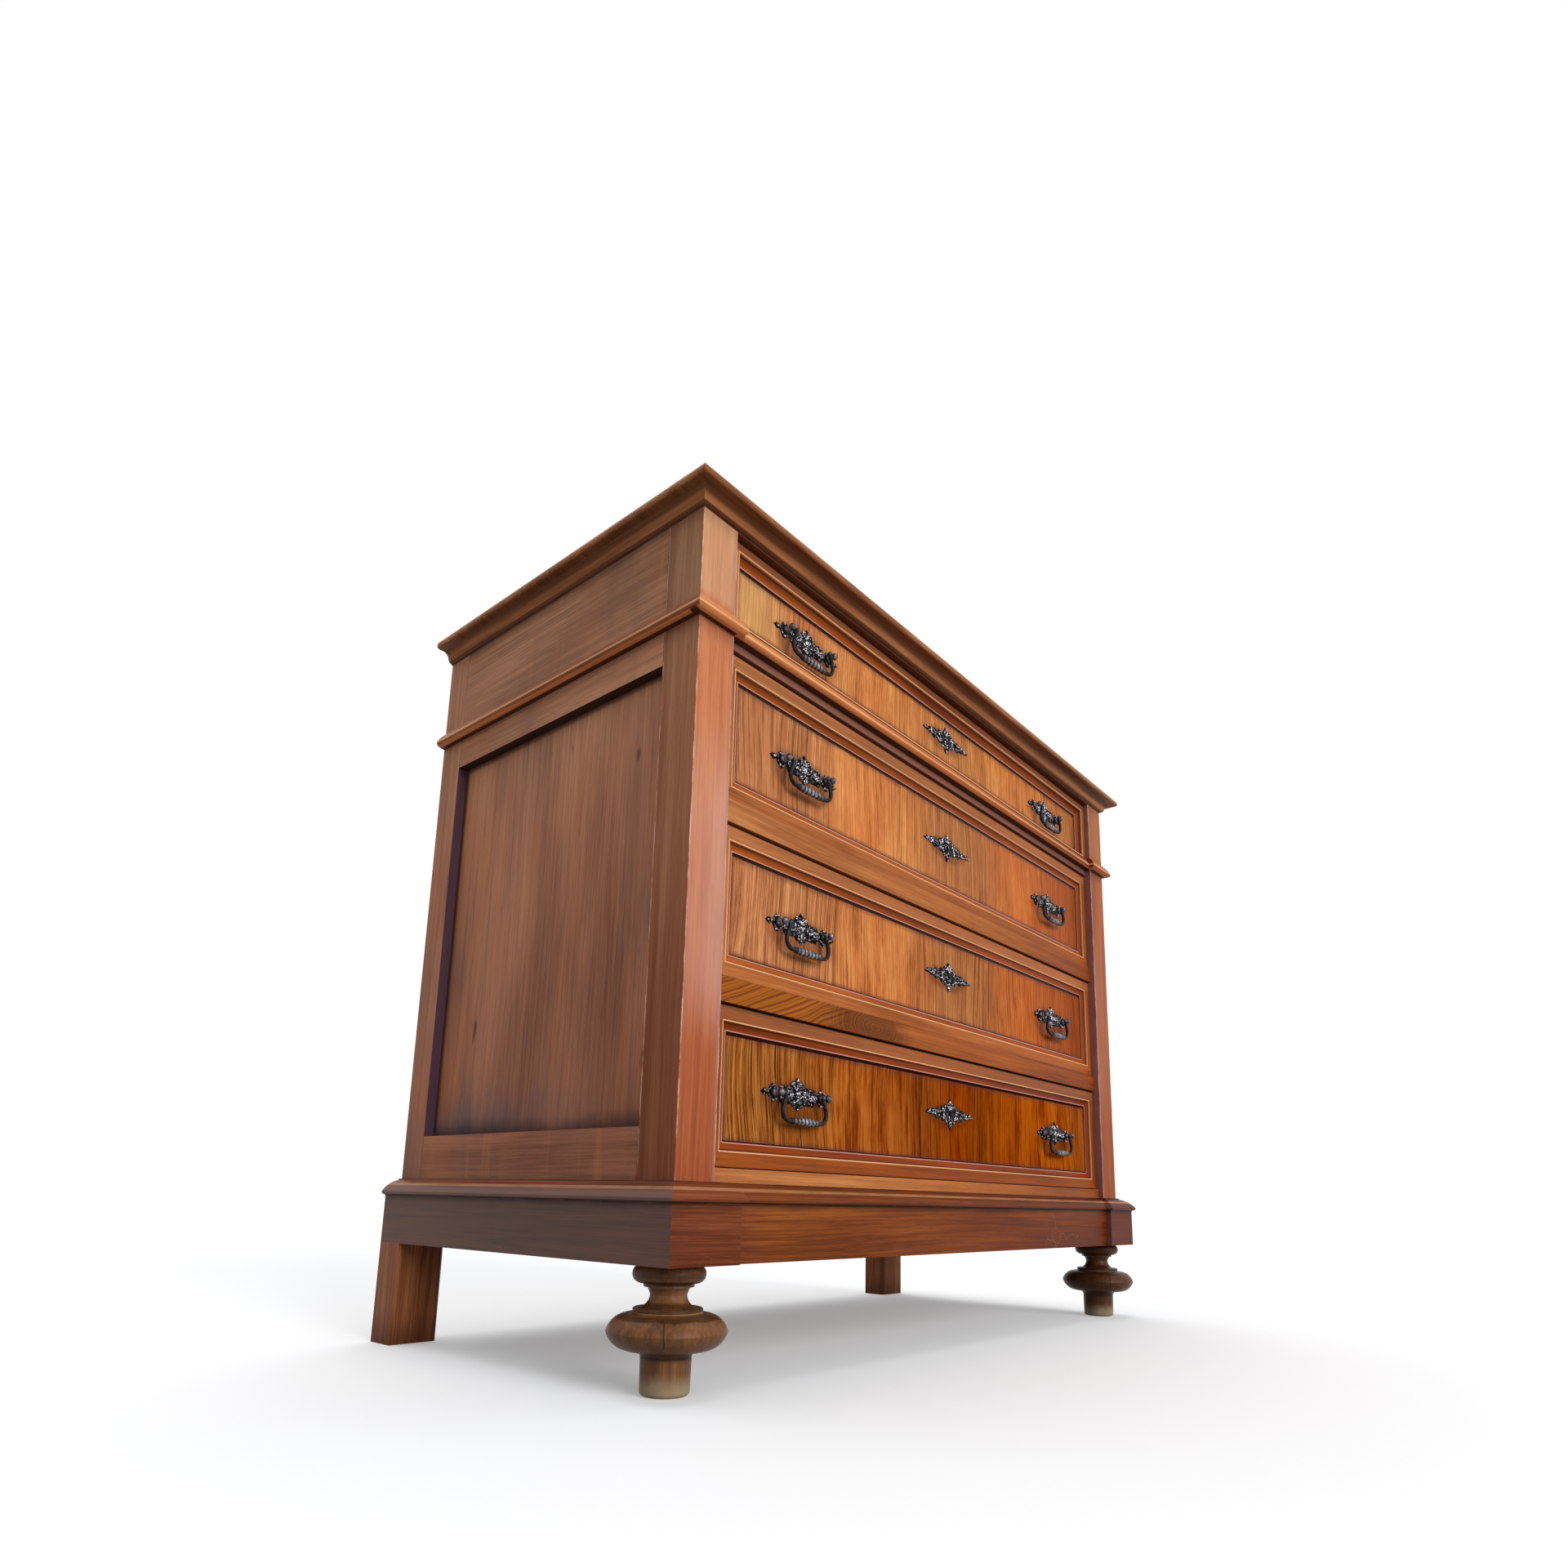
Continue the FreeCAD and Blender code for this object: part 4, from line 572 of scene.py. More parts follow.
def handlingAndShade(coat, drawer, ragged):
    # wood darkened round the pulls and the key plate, by hands and as painted shadow of the bronze, centred a
    # little low; and the open keyhole painted dark as the shade inside it
    x, y, z = axesOf(coat.place)
    keyholeZ = chest["keyholeZ"][drawer]
    pull = joined(coat.place.tree, abs(x) - chest["handleX"], z - (chest["handleZ"][drawer] - 0.010), 0.0)
    keyPlate = joined(coat.place.tree, x + 0.002, z - (keyholeZ - 0.003), 0.0)
    reach = least(lengthOf(pull/fieldLook["pullHalo"]), lengthOf(keyPlate/fieldLook["keyHalo"]))
    coat.stain(spanOf(reach + ragged*0.5, 1.12, 0.70, 0.0, 0.50), fieldLook["handledAndShaded"])
    halfX, halfZ = fieldLook["keyholeHalf"]
    coat.stain((abs(x) < halfX)*(abs(z - (keyholeZ - 0.0035)) < halfZ), fieldLook["keyhole"])


def fieldVeneer(drawer):
    # fine stripes and broad flames, parted by soft bands across the front, under dark broken streaks
    material, tree, shader = newMaterial(f"fieldVeneer{drawer}")
    seed = fieldLook["seeds"][drawer]
    place = objectPlace(tree)
    x, y, z = axesOf(place)
    apart = place + (seed, 0.0, seed*1.3)
    across = x + wobble(apart, (3.4, 3.4, 2.2))*0.085
    ragged = wobble(apart, (40.0, 40.0, 4.0), 4.0, 0.6)
    share = across + ragged*0.10 + 0.5
    flame = axesOf(rampOf(share, fieldLook["bands"][drawer]))[0]
    bent = joined(tree, across, y, z) + (seed, 0.0, seed)
    fibre = layer(bent, (760.0, 760.0, 12.0), 2.0, 0.6, 0.32, 0.68)
    lines = layer(bent, (520.0, 520.0, 7.0), 4.0, 0.7, 0.34, 0.66)
    broad = layer(bent, (34.0, 34.0, 3.0), 4.0, 0.6, 0.30, 0.70)
    mottle = layer(bent, (70.0, 70.0, 24.0), 3.0, 0.6, 0.30, 0.70)
    waves = layer(bent, (24.0, 24.0, 5.5), 5.0, 0.60, 0.32, 0.68)
    spread = fieldLook["spread"][drawer]
    striped = (lines*0.50 + broad*0.12 + fibre*0.24 + mottle*0.14)*spread + 0.5*(1.0 - spread)
    flamed = (waves*0.34 + lines*0.30 + fibre*0.20 + mottle*0.16)*spread + 0.5*(1.0 - spread)
    colour = blend(flame, rampOf(striped, fieldLook["striped"]), rampOf(flamed, fieldLook["flamed"]))
    coat = surfaceCoat(tree, colour, fibre*0.14 + 0.24)
    dark = layer(bent, (460.0, 460.0, 4.0), 4.0, 0.72, 0.52, 0.62)
    gathered = layer(bent, (15.0, 15.0, 1.5), 3.0, 0.55, 0.47, 0.60)
    coat.stain(dark*gathered, fieldLook["streak"], fieldLook["depth"][drawer])
    pores = layer(bent, (1500.0, 1500.0, 60.0), 1.0, 0.5, 0.60, 0.72)
    coat.stain(pores, fieldLook["streak"], 0.30)
    if drawer == 1:
        coat.stain(spanOf(across, -0.36, -0.47), fieldLook["paleEnd"], 0.45)
    # painted shade: tints over the field that are darker on the lower drawers and towards the right, then a
    # darker right end by the frame
    tint = rampOf(share, tuple(zip((0.05, 0.52, 0.92), fieldLook["tints"][drawer])), "LINEAR")
    coat.stain(1.0, tint, way="MULTIPLY")
    coat.stain(spanOf(across, 0.33, 0.49), fieldLook["rightEndShade"], 0.42)
    fieldRim(coat, drawer)
    core = rampOf(noise(place, (6.0, 60.0, 60.0), 3.0, 0.6), fieldLook["core"])
    coat.stain(y > chest["fieldY"] + 0.0012, core)
    handlingAndShade(coat, drawer, ragged)
    feedAll(tree, shader, {"Base Color": coat.colour, "Roughness": coat.rough,
                           "Specular IOR Level": fieldLook["sheen"][drawer],
                           "Normal": bumpOf(fibre*0.5 - pores, 0.18, 0.0003)})
    return material


# Which walnut each CAD node gets

postLook = {"dark": (172, 98, 62), "middle": (206, 130, 88), "light": (228, 158, 112),
            "streak": (128, 66, 40), "streakAmount": 0.30}
sideLook = {"dark": (138, 88, 64), "middle": (184, 127, 94), "light": (214, 152, 114),
            "streak": (90, 58, 46), "streakAmount": 0.22, "roughness": 0.46, "figure": 0.14,
            "streaky": 0.16, "fibre": 0.30, "cloud": 0.38}
frameLook = {"dark": (138, 80, 42), "middle": (188, 118, 70), "light": (216, 148, 96),
             "streak": (92, 48, 24), "streakAmount": 0.30}
railLook = {"dark": (138, 80, 44), "middle": (186, 120, 74), "light": (214, 150, 98),
            "streak": (88, 46, 24), "streakAmount": 0.35}
# the plinth's wood, also on the base moulding and the rear feet, is dark in its own tone and by painted shade
# low on the chest
plinthLook = {"dark": (84, 40, 22), "middle": (136, 78, 47), "light": (176, 112, 70),
              "streak": (54, 24, 14), "streakAmount": 0.45, "streaky": 0.20, "fibre": 0.34}
topLook = {"dark": (112, 64, 36), "middle": (160, 98, 58), "light": (192, 128, 82),
           "streak": (74, 40, 22), "streakAmount": 0.40}
footLook = {"dark": (84, 52, 30), "middle": (128, 84, 52), "light": (162, 114, 74),
            "streak": (50, 30, 16), "streakAmount": 0.50, "roughness": 0.36, "specular": 0.12,
            "figure": 0.10, "streaky": 0.20, "fibre": 0.20}

# How those woods change over the chest: painted shade makes them redder and darker low down and to the right,
# where less light falls

sideTint = tinted("z", (0.18, (192, 178, 182)), (0.27, (218, 204, 210)), (0.45, (232, 220, 222)),
                  (0.65, (250, 238, 236)), (0.80, (255, 255, 255)), (0.98, (250, 246, 240)))
railTint = tinted("x", (-0.56, (252, 244, 230)), (0.0, (236, 210, 168)), (0.56, (186, 136, 72)))
plinthTint = tinted("x", (-0.60, (214, 190, 196)), (-0.47, (214, 186, 172)), (-0.42, (228, 198, 142)),
                    (0.10, (208, 166, 104)), (0.60, (172, 124, 76)), wander=0.02)
postTint = {
    "left": tinted("z", (0.20, (204, 172, 158)), (0.45, (226, 200, 186)), (0.80, (242, 226, 214)),
                   (0.87, (240, 236, 230)), (0.98, (246, 250, 250))),
    "right": tinted("z", (0.20, (184, 144, 100)), (0.60, (206, 174, 136)), (0.98, (214, 190, 150))),
}
# painted shadow: the right foot is multiplied darker
footTint = {
    "left": tinted("z", (0.0, (249, 249, 249)), (0.13, (255, 255, 255)), wander=0.0),
    "right": tinted("z", (0.0, (172, 156, 143)), (0.13, (176, 160, 146)), wander=0.0),
}
frameTint = {                    # painted shade at the left and the right end of each drawer's frame, deepening to the right and on drawer 4
    drawer: tinted("x", (-0.50, left), (0.50, right)) for drawer, left, right in (
        (1, (240, 226, 206), (222, 190, 142)), (2, (240, 226, 206), (222, 186, 130)),
        (3, (240, 222, 196), (216, 174, 112)), (4, (206, 168, 116), (190, 140, 70)))
}


frameMarks = {
    "head": {1: ((104, 60, 40), 0.72), 2: ((196, 148, 110), 0.14), 3: ((196, 148, 110), 0.14),
             4: ((196, 148, 110), 0.14)},            # painted shade on the flat of the head member, strongest on drawer 1 under the cornice: tone and amount
    # painted shade multiplied over the ovolo
    "ovolo": (238, 206, 158),
    "paintedHighlights": (                  # painted highlights on the lips: beyond the flat, half width, tone and amount of each pale line
        (-0.0006, 0.0012, (255, 196, 142), 0.72),
        (0.0093, 0.0009, (226, 176, 158), 0.60),
    ),
    # painted shade in the quirk, in the gap at the outer edge and at the wall by the field
    "dark": (56, 18, 8),
}


def frameLines(drawer):
    # d runs from the frame's outer edge inwards: flat, quirk, ovolo, wall at the field. Painted shade lies on
    # the head flat, over the ovolo, in the quirk, in the outer gap and at the wall, with painted highlights
    # on the lips
    def mark(coat):
        flat = frameSize["flat"][drawer]
        inward, fromFoot, fromHead = fromEdges(coat.place, drawer)
        d = least(inward, fromFoot, fromHead)
        coat.stain(spanOf(fromHead, flat, flat - 0.0040), *frameMarks["head"][drawer])
        coat.stain(spanOf(d, flat + 0.0006, flat + 0.0020), frameMarks["ovolo"], way="MULTIPLY")
        for beyond, half, tone, amount in frameMarks["paintedHighlights"]:
            coat.stain(bandOf(d, flat + beyond, half, half*0.4), tone, amount)
        quirk = bandOf(d, flat + 0.0010, 0.0012, 0.0004)*0.70
        outer = spanOf(d, 0.0014, 0.0002)*0.55
        wall = flat + frameSize["wallFrom"]
        coat.stain(most(quirk, outer, spanOf(d, wall, wall + 0.0003)*0.90), frameMarks["dark"])
    return mark


postMarks = {
    "gleam": (236, 192, 176),    # the room's pale lilac light on the left post
    "gleamFrom": (0.34, 0.76),
    "frieze": (240, 206, 164),   # painted sheen over the waist
    "sideFaceShade": (213, 233, 248),           # painted shade, darker and cooler, multiplied over the side faces
    "underWaist": (120, 66, 48),
    "underCornice": (120, 70, 50),
    "innerX": 0.5074,
    # a painted reflection of pale light along the inner edge of the front face
    "innerEdgeReflection": (166, 128, 132),
    "worn": (240, 196, 176),
}


def postSheen(side):
    # a gleam on the front face, strongest along its inner edge and weak on the right post
    def mark(coat):
        x, y, z = axesOf(coat.place)
        inner = spanOf(x*float(side), 0.548, 0.510, 0.20, 0.34)
        share = spanOf(coat.facing("y"), -0.50, -0.80, 0.0, 1.0 if side < 0 else 0.25)
        low, high = postMarks["gleamFrom"]
        coat.stain(spanOf(z, low, low + 0.10)*spanOf(z, high, high - 0.16)*inner*share, postMarks["gleam"])
        coat.stain(spanOf(z, 0.866, 0.880, 0.0, 0.20)*share, postMarks["frieze"])
    return mark


waistMarks = {
    "nose": -0.2515,             # where the lower curve of the middle length ends
    "breakX": 0.5059,            # further out the moulding breaks forward round the post
    "breakOut": 0.0090,
    "sideNose": 0.5680,          # where the curve of the side lengths ends
    # painted light on the lower curve, and painted shade in the corner under it
    "curve": (214, 134, 84),
    "corner": (40, 16, 8),
}


def waistUnder(coat):
    # the moulding's lower curve looks down but is painted bright as if lit, up to the corner where it meets
    # the wall, which is painted dark as shade
    x, y, z = axesOf(coat.place)
    down = spanOf(coat.facing("z"), -0.60, -0.90)
    nose = (abs(x) > waistMarks["breakX"])*-waistMarks["breakOut"] + waistMarks["nose"]
    inFront = spanOf(y - nose, -0.0014, 0.0010)*(y < -0.25)
    sideNose = waistMarks["sideNose"]
    bySide = spanOf(abs(x), sideNose + 0.0012, sideNose - 0.0012)*(y > -0.2550)
    inner = most(inFront, bySide)
    coat.stain(down*(1.0 - inner), waistMarks["curve"], 0.60)
    coat.stain(down*inner, waistMarks["corner"], 0.92)


sideMarks = {
    "warmCloud": (198, 122, 74),
    "coolCloud": (112, 88, 84),
    "damp": (86, 80, 86),
    "dampFrom": (0.350, 0.270),  # where the stain begins, and where it is full
    "shade": (52, 24, 18),
    "panelRear": 0.2385,         # edges of the sunk panel
    "panelFront": -0.1968,
    "panelHead": 0.7975,
}


def panelStain(coat):
    # damp has left a dark grey stain low down, deepest towards the rear
    x, y, z = axesOf(coat.place)
    ragged = wobble(coat.place, (14.0, 14.0, 6.0), 4.0, 0.65)*0.10
    low = spanOf(z + ragged, *sideMarks["dampFrom"])
    coat.stain(low*spanOf(y, -0.16, 0.20, 0.10, 0.72), sideMarks["damp"])


def panelShade(coat):
    # the shadow that the stiles and the head rail keep on the sunk panel
    x, y, z = axesOf(coat.place)
    rear, front, head = (sideMarks[word] for word in ("panelRear", "panelFront", "panelHead"))
    byRear = spanOf(y, rear - 0.0095, rear)
    byFront = spanOf(y, front + 0.0028, front)*0.7
    byHead = spanOf(z, head - 0.0095, head)*0.9
    coat.stain(most(byRear, byFront, byHead), sideMarks["shade"], 0.85)


def sideClouds(coat):
    # broad warm patches and a few cool grey ones, as on boards that have faded unevenly
    warm = layer(coat.place, (6.0, 6.0, 2.0), 3.0, 0.6, 0.46, 0.70)
    streaked = layer(coat.place, (52.0, 52.0, 2.6), 3.0, 0.6, 0.52, 0.68)
    coat.stain(most(warm, streaked), sideMarks["warmCloud"], 0.32)
    cool = layer(coat.place + (3.7, 1.9, 0.6), (7.0, 7.0, 2.6), 3.0, 0.6, 0.50, 0.72)
    coat.stain(cool, sideMarks["coolCloud"], 0.38)


railMarks = {
    "underWaist": (122, 82, 72),
    "underCornice": (96, 48, 28),
    "gold": ((182, 112, 36), (120, 60, 16)),         # pale and dark lines of the slanting figure
    "brown": ((128, 70, 26), (70, 34, 12)),          # and round the knot
    "whole": (244, 226, 196),                        # multiplied over the whole rail
    "knotX": -0.205,
    "knotZ": 0.421,
}


def waistBand(coat):
    # the strips of rail under the waist moulding and under the cornice, darker and in shade
    z = coat.along("z")
    coat.stain(spanOf(z, 0.826, 0.829)*(z < 0.90), railMarks["underWaist"], 0.80)
    coat.stain(z > 0.90, railMarks["underCornice"], 0.78)


def figuredRail(coat):
    # the rail over drawer 4: gold figure aslant from the left, then a brown length with a knot
    x, y, z = axesOf(coat.place)
    low, high = chest["railOverFourth"]
    inRail = (z > low)*(z < high)
    ragged = noise(coat.place, (18.0, 18.0, 30.0), 3.0, 0.6)*0.10
    aslant = z*2.4 - x + noise(coat.place, 10.0)*0.05
    stripes = spanOf(lineNoise(aslant*120.0, 4.0, 0.65), 0.38, 0.64)
    gold = blend(stripes, *[paint(*tone) for tone in railMarks["gold"]])
    coat.stain(inRail*spanOf(x + ragged, -0.14, -0.24), gold, 0.92)
    across = (x - railMarks["knotX"])*0.45
    up = z - railMarks["knotZ"]
    rings = spanOf(lineNoise(rootOf(across*across + up*up)*700.0, 2.0, 0.6), 0.40, 0.60)
    brown = blend(rings, *[paint(*tone) for tone in railMarks["brown"]])
    coat.stain(inRail*spanOf(abs(x + 0.17 + ragged), 0.12, 0.05), brown, 0.82)
    coat.stain(inRail, railMarks["whole"], way="MULTIPLY")


# Levels and tones of the turned feet
footMarks = {
    "hollows": ((0.1170, 0.0050), (0.0870, 0.0045), (0.0765, 0.0030), (0.0400, 0.0065)),
    "lines": (                   # level, half width, tone and amount of each line: dark ones are painted shade in creases, pale ones painted highlights on rims
        (0.1085, 0.0030, (26, 16, 10), 0.75),
        (0.0830, 0.0014, (26, 16, 10), 0.70),
        (0.0805, 0.0009, (196, 160, 118), 0.45),
        (0.1040, 0.0009, (190, 150, 106), 0.35),
        (0.0372, 0.0020, (30, 20, 12), 0.60),
    ),
    # painted shade in the turned hollows
    "hollowShade": (44, 24, 14),
    "wornShank": (150, 126, 92),
    "sole": (172, 154, 124),
    "crack": (30, 18, 12),
    "crackAngle": -2.38,         # radians round the foot
    "bulb": (0.046, 0.078),
}


def footShades(coat):
    # painted shade in the turned hollows, and a worn pale foot of the shank
    z = coat.along("z") + wobble(coat.place, 50.0)*0.004
    for level, half in footMarks["hollows"]:
        coat.stain(bandOf(z, level, half, half*0.3), footMarks["hollowShade"], 0.60)
    coat.stain(spanOf(z, 0.026, 0.004), footMarks["wornShank"], 0.55)


def footLines(side):
    # painted shade in the creases under the cap, under the ring and low on the shank, painted highlights on
    # two rims, a worn sole and a crack down the bulb
    def mark(coat):
        x, y, z = axesOf(coat.place)
        for level, half, tone, amount in footMarks["lines"]:
            lineAt("z", level, half, tone, amount, 0.3)(coat)
        uneven = noise(coat.place, 60.0, 3.0, 0.6)*0.024
        coat.stain(spanOf(z - uneven, 0.012, -0.010), footMarks["sole"], 0.55)
        back = y - chest["footY"]
        around = back.worked("ARCTAN2", back, x - side*chest["footX"])
        around = around + wobble(coat.place, (20.0, 20.0, 30.0))*0.06
        low, high = footMarks["bulb"]
        onBulb = spanOf(z, low, low + 0.006)*spanOf(z, high, high - 0.006)
        coat.stain(bandOf(around, footMarks["crackAngle"], 0.022, 0.008)*onBulb, footMarks["crack"], 0.75)
    return mark


def assign(material, *names):
    for name in names:
        data = nodes[name].data
        if not data.materials:
            data.materials.append(material)
        for index in range(len(data.materials)):
            data.materials[index] = material


def dressFronts():
    for drawer in drawers:
        assign(fieldVeneer(drawer), f"drawer_{drawer}_front")
        assign(walnut(f"frameWalnut{drawer}", frameGrain(drawer), seed=2.0*drawer, heart=(0.03, 0.9),
                      marks=[frameTint[drawer], frameLines(drawer)], **frameLook),
               f"drawer_{drawer}_frame")
    print("drawer fronts done")


def dressSides():
    waist = chest["waistUnderside"]
    cornice = chest["corniceUnderside"]
    seams = [lineAt("y", level, 0.0010) for level in chest["sideSeams"]]
    for word, side in sides.items():
        low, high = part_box(f"post_front_{word}")
        assign(walnut(f"postWalnut_{word}", "z", seed=4.0 + side, heart=(side*0.9, 0.3),
                      marks=[postTint[word], towards("x", 0, postMarks["sideFaceShade"]),
                             shadeBelow(waist, 0.040, postMarks["underWaist"], 0.75),
                             shadeBelow(cornice, 0.030, postMarks["underCornice"], 0.55), postSheen(side),
                             lineAt("x", side*postMarks["innerX"], 0.0030, postMarks["innerEdgeReflection"], 0.50, 0.3),
                             wornEdges(low, high, 0.0014, postMarks["worn"], 1.0)],
                      **postLook), f"post_front_{word}")
        # the rear post's face that looks forward beside the panel is painted dark purple, as the shade and
        # reflection it shows
        assign(walnut(f"rearPostWalnut_{word}", "z", seed=9.0 + side, heart=(0.2, 0.9),
                      marks=[sideTint, sideClouds, towards("y", -1, (62, 47, 68), 0.90, "MIX"),
                             shadeBelow(waist, 0.012, (60, 36, 30), 0.3)], **sideLook),
               f"post_rear_{word}")
        assign(walnut(f"panelWalnut_{word}", "z", seed=14.0 + side, heart=(side*0.30, -0.05), warp=0.03,
                      marks=[sideTint, sideClouds, specks(1.0 + side, 30.0), panelStain, panelShade,
                             grime("z", 0.264, 0.292, 0.75, (50, 42, 44)), scuffs(0.12, 2.0)],
                      **sideLook), f"side_panel_{word}")
        assign(walnut(f"friezeWalnut_{word}", "y", seed=19.0 + side, heart=(side*0.4, 0.86), warp=0.03,
                      marks=[sideClouds, shadeBelow(cornice, 0.022, (52, 34, 26), 0.6), *seams],
                      **dict(sideLook, middle=(164, 114, 84))), f"side_frieze_{word}")
    assign(walnut("sideRailWalnut", "y", boards=("z", 0.3, 0.1), heart=(0.1, 0.7),
                  marks=[sideTint, sideClouds, shadeBelow(waist, 0.012, (60, 34, 26), 0.3), *seams,
                         paintedSoffitShade(0.95)], **sideLook), "side_rails")
    print("posts and sides done")


def dressMouldings():
    assign(walnut("railWalnut", "x", boards=("z", 0.2, -0.1), heart=(-0.10, 0.3),
                  marks=[railTint, waistBand, figuredRail, paintedSoffitShade(0.5, (58, 32, 24))], **railLook),
           "front_rails")
    mouldings = {
        "top_board": (dict(topLook, heart=(0.0, 0.8), warp=0.05), [
            paintedSoffitShade(0.55, (58, 34, 22), -0.5, -0.95)]),
        "cornice_moulding": (topLook, [
            paintedSoffitShade(0.55, (44, 24, 14), -0.35, -0.90), lineAt("z", 0.9795, 0.0012, amount=0.7)]),
        # waist moulding: painted shade on the side faces, painted light under the curve, and a painted
        # highlight along the nose
        "waist_moulding": (dict(railLook, middle=(206, 126, 76), light=(232, 160, 108)), [
            railTint, towards("x", 0, (196, 184, 186)), waistUnder,
            lineAt("z", 0.8485, 0.0024, (255, 204, 152), 0.55, 0.3), lineAt("z", 0.8648, amount=0.7)]),
        # base moulding: painted grey-lilac light on the side faces and a painted highlight along the nose
        "base_moulding": (plinthLook, [
            plinthTint, towards("x", 0, (128, 110, 104), 0.5, "MIX"),
            paintedSoffitShade(0.90, start=-0.5, end=-0.9), lineAt("z", 0.2030, 0.0022, (214, 158, 116), 0.45, 0.3),
            lineAt("z", 0.2100, 0.0010), lineAt("z", 0.1882, 0.0012, amount=0.85)]),
        # plinth: painted cool grey light on the side faces
        "plinth": (plinthLook, [
            plinthTint, towards("x", 0, (117, 101, 94), 0.5, "MIX"),
            shadeBelow(chest["plinthTop"], 0.010, (30, 14, 10), 0.6), scuffs(0.30, 5.0)]),
    }
    for index, (name, (look, marks)) in enumerate(mouldings.items()):
        grain = mitredGrain(name) if name in outerCorner else "x"
        assign(walnut(f"{name}Walnut", grain, seed=23.0 + index, marks=marks, **look), name)
    print("mouldings done")


def dressFeet():
    for word, side in sides.items():
        assign(walnut(f"rearFootWalnut_{word}", "z", seed=31.0 + side, heart=(0.3, 0.4),
                      marks=[grime("z", 0.0, 0.05, 0.5)], **plinthLook), f"foot_rear_{word}")
        assign(walnut(f"turnedWalnut_{word}", "z", seed=35.0 + side, heart=(side*0.535, -0.10),
                      marks=[footTint[word], paintedSoffitShade(0.30, (50, 34, 20), -0.10, -0.90), footShades,
                             footLines(side)], **footLook), f"foot_front_{word}")
    print("feet done")


# Pine and poplar of the back and the inside

pineLook = {"dark": (132, 94, 58), "middle": (168, 128, 86), "light": (192, 154, 108),
            "streak": (104, 70, 42), "streakAmount": 0.25, "roughness": 0.62, "pores": 0.12,
            "ringRate": 60.0}


def dressPine():
    assign(walnut("backBoardPine", "z", boards=("x", 0.1741, -0.5223), heart=(0.1, 0.5), warp=0.03,
                  marks=[scuffs(0.2)], **pineLook), "back_boards")
    assign(walnut("backRailPine", "x", boards=("z", 0.4, 0.0), heart=(0.3, 0.1), **pineLook), "back_rails")
    for drawer in drawers:
        assign(walnut(f"boxPine{drawer}", boxGrain, seed=40.0 + drawer, heart=(0.2, 0.1), warp=0.02,
                      **pineLook), f"drawer_{drawer}_box")
    assign(walnut("runnerPine", "y", boards=("z", 0.2, -0.1), heart=(0.2, 0.1), **pineLook),
           "drawer_runners", "drawer_guides")
    assign(walnut("blockPine", "y", seed=51.0, heart=(0.2, 0.1), **pineLook), "plinth_blocks")
    print("pine done")


# Steel of the locks

steelLook = {
    "brushed": ((0.3, (112, 106, 100)), (0.7, (158, 152, 144))),
    "rust": (98, 58, 36),
}


def dressSteel():
    # fine brushing under patches of rust, which are duller and less metallic
    material, tree, shader = newMaterial("lockSteel")
    place = objectPlace(tree)
    brushed = noise(place, (900.0, 900.0, 40.0), 2.0, 0.6)
    rust = layer(place, 60.0, 4.0, 0.65, 0.50, 0.68)
    colour = blend(rust*0.7, rampOf(brushed, steelLook["brushed"]), paint(*steelLook["rust"]))
    feedAll(tree, shader, {"Base Color": colour, "Metallic": 0.95 - rust*0.6, "Roughness": rust*0.35 + 0.34,
                           "Normal": bumpOf(brushed, 0.2, 0.0002)})
    for drawer in drawers:
        assign(material, f"drawer_{drawer}_lock", f"drawer_{drawer}_bolt")
    print("steel done")


# Dark bronze: black in the hollows, as patina and as painted shade for their depth, and rubbed bright on what
# stands proud, with a painted lilac-grey reflection. The attribute rise is 0 in hollows and 1 on tops, and
# carved is 1 on the chased sheets and 0 on turned and drawn parts

bronzeLook = {
    "tones": ((0.14, (3, 2, 2)), (0.50, (50, 47, 49)), (1.00, (214, 210, 218))),   # hollow with patina and painted shade, skin, rubbed metal with a painted lilac-grey reflection
    "chasing": 360.0,            # cells of the fine chased pattern per metre
    "roughness": 0.40,
}


def makeBronze():
    material, tree, shader = newMaterial("darkBronze")
    rise, carved = (nodeValue(tree, shaderNode(tree, "Attribute", attribute_name=word).outputs["Fac"])
                    for word in ("rise", "carved"))
    place = objectPlace(tree)
    mottle = noise(place, 260.0, 4.0, 0.6)
    bend = noise(place, 300.0, output="Color")*(0.0012, 0.0012, 0.0012)
    chased = spanOf(cellsOf(place + bend, bronzeLook["chasing"], "F1"), 0.62, 0.22)
    lifted = rise + (mottle - 0.5)*0.45 + (chased - 0.55)*carved*0.80
    cast = chased*carved*1.6 + noise(place, 900.0, 2.0, 0.6)
    feedAll(tree, shader, {"Base Color": rampOf(lifted, bronzeLook["tones"]),
                           "Metallic": spanOf(lifted, 0.2, 0.7, 0.30, 0.90),
                           "Roughness": mottle*0.24 + (bronzeLook["roughness"] - 0.12),
                           "Specular IOR Level": spanOf(lifted, 0.1, 0.8, 0.05, 0.40),
                           "Normal": bumpOf(cast, 0.55, 0.0005)})
    return material


# Shells: rows of closed loops, joined into walls, with a fan over each end

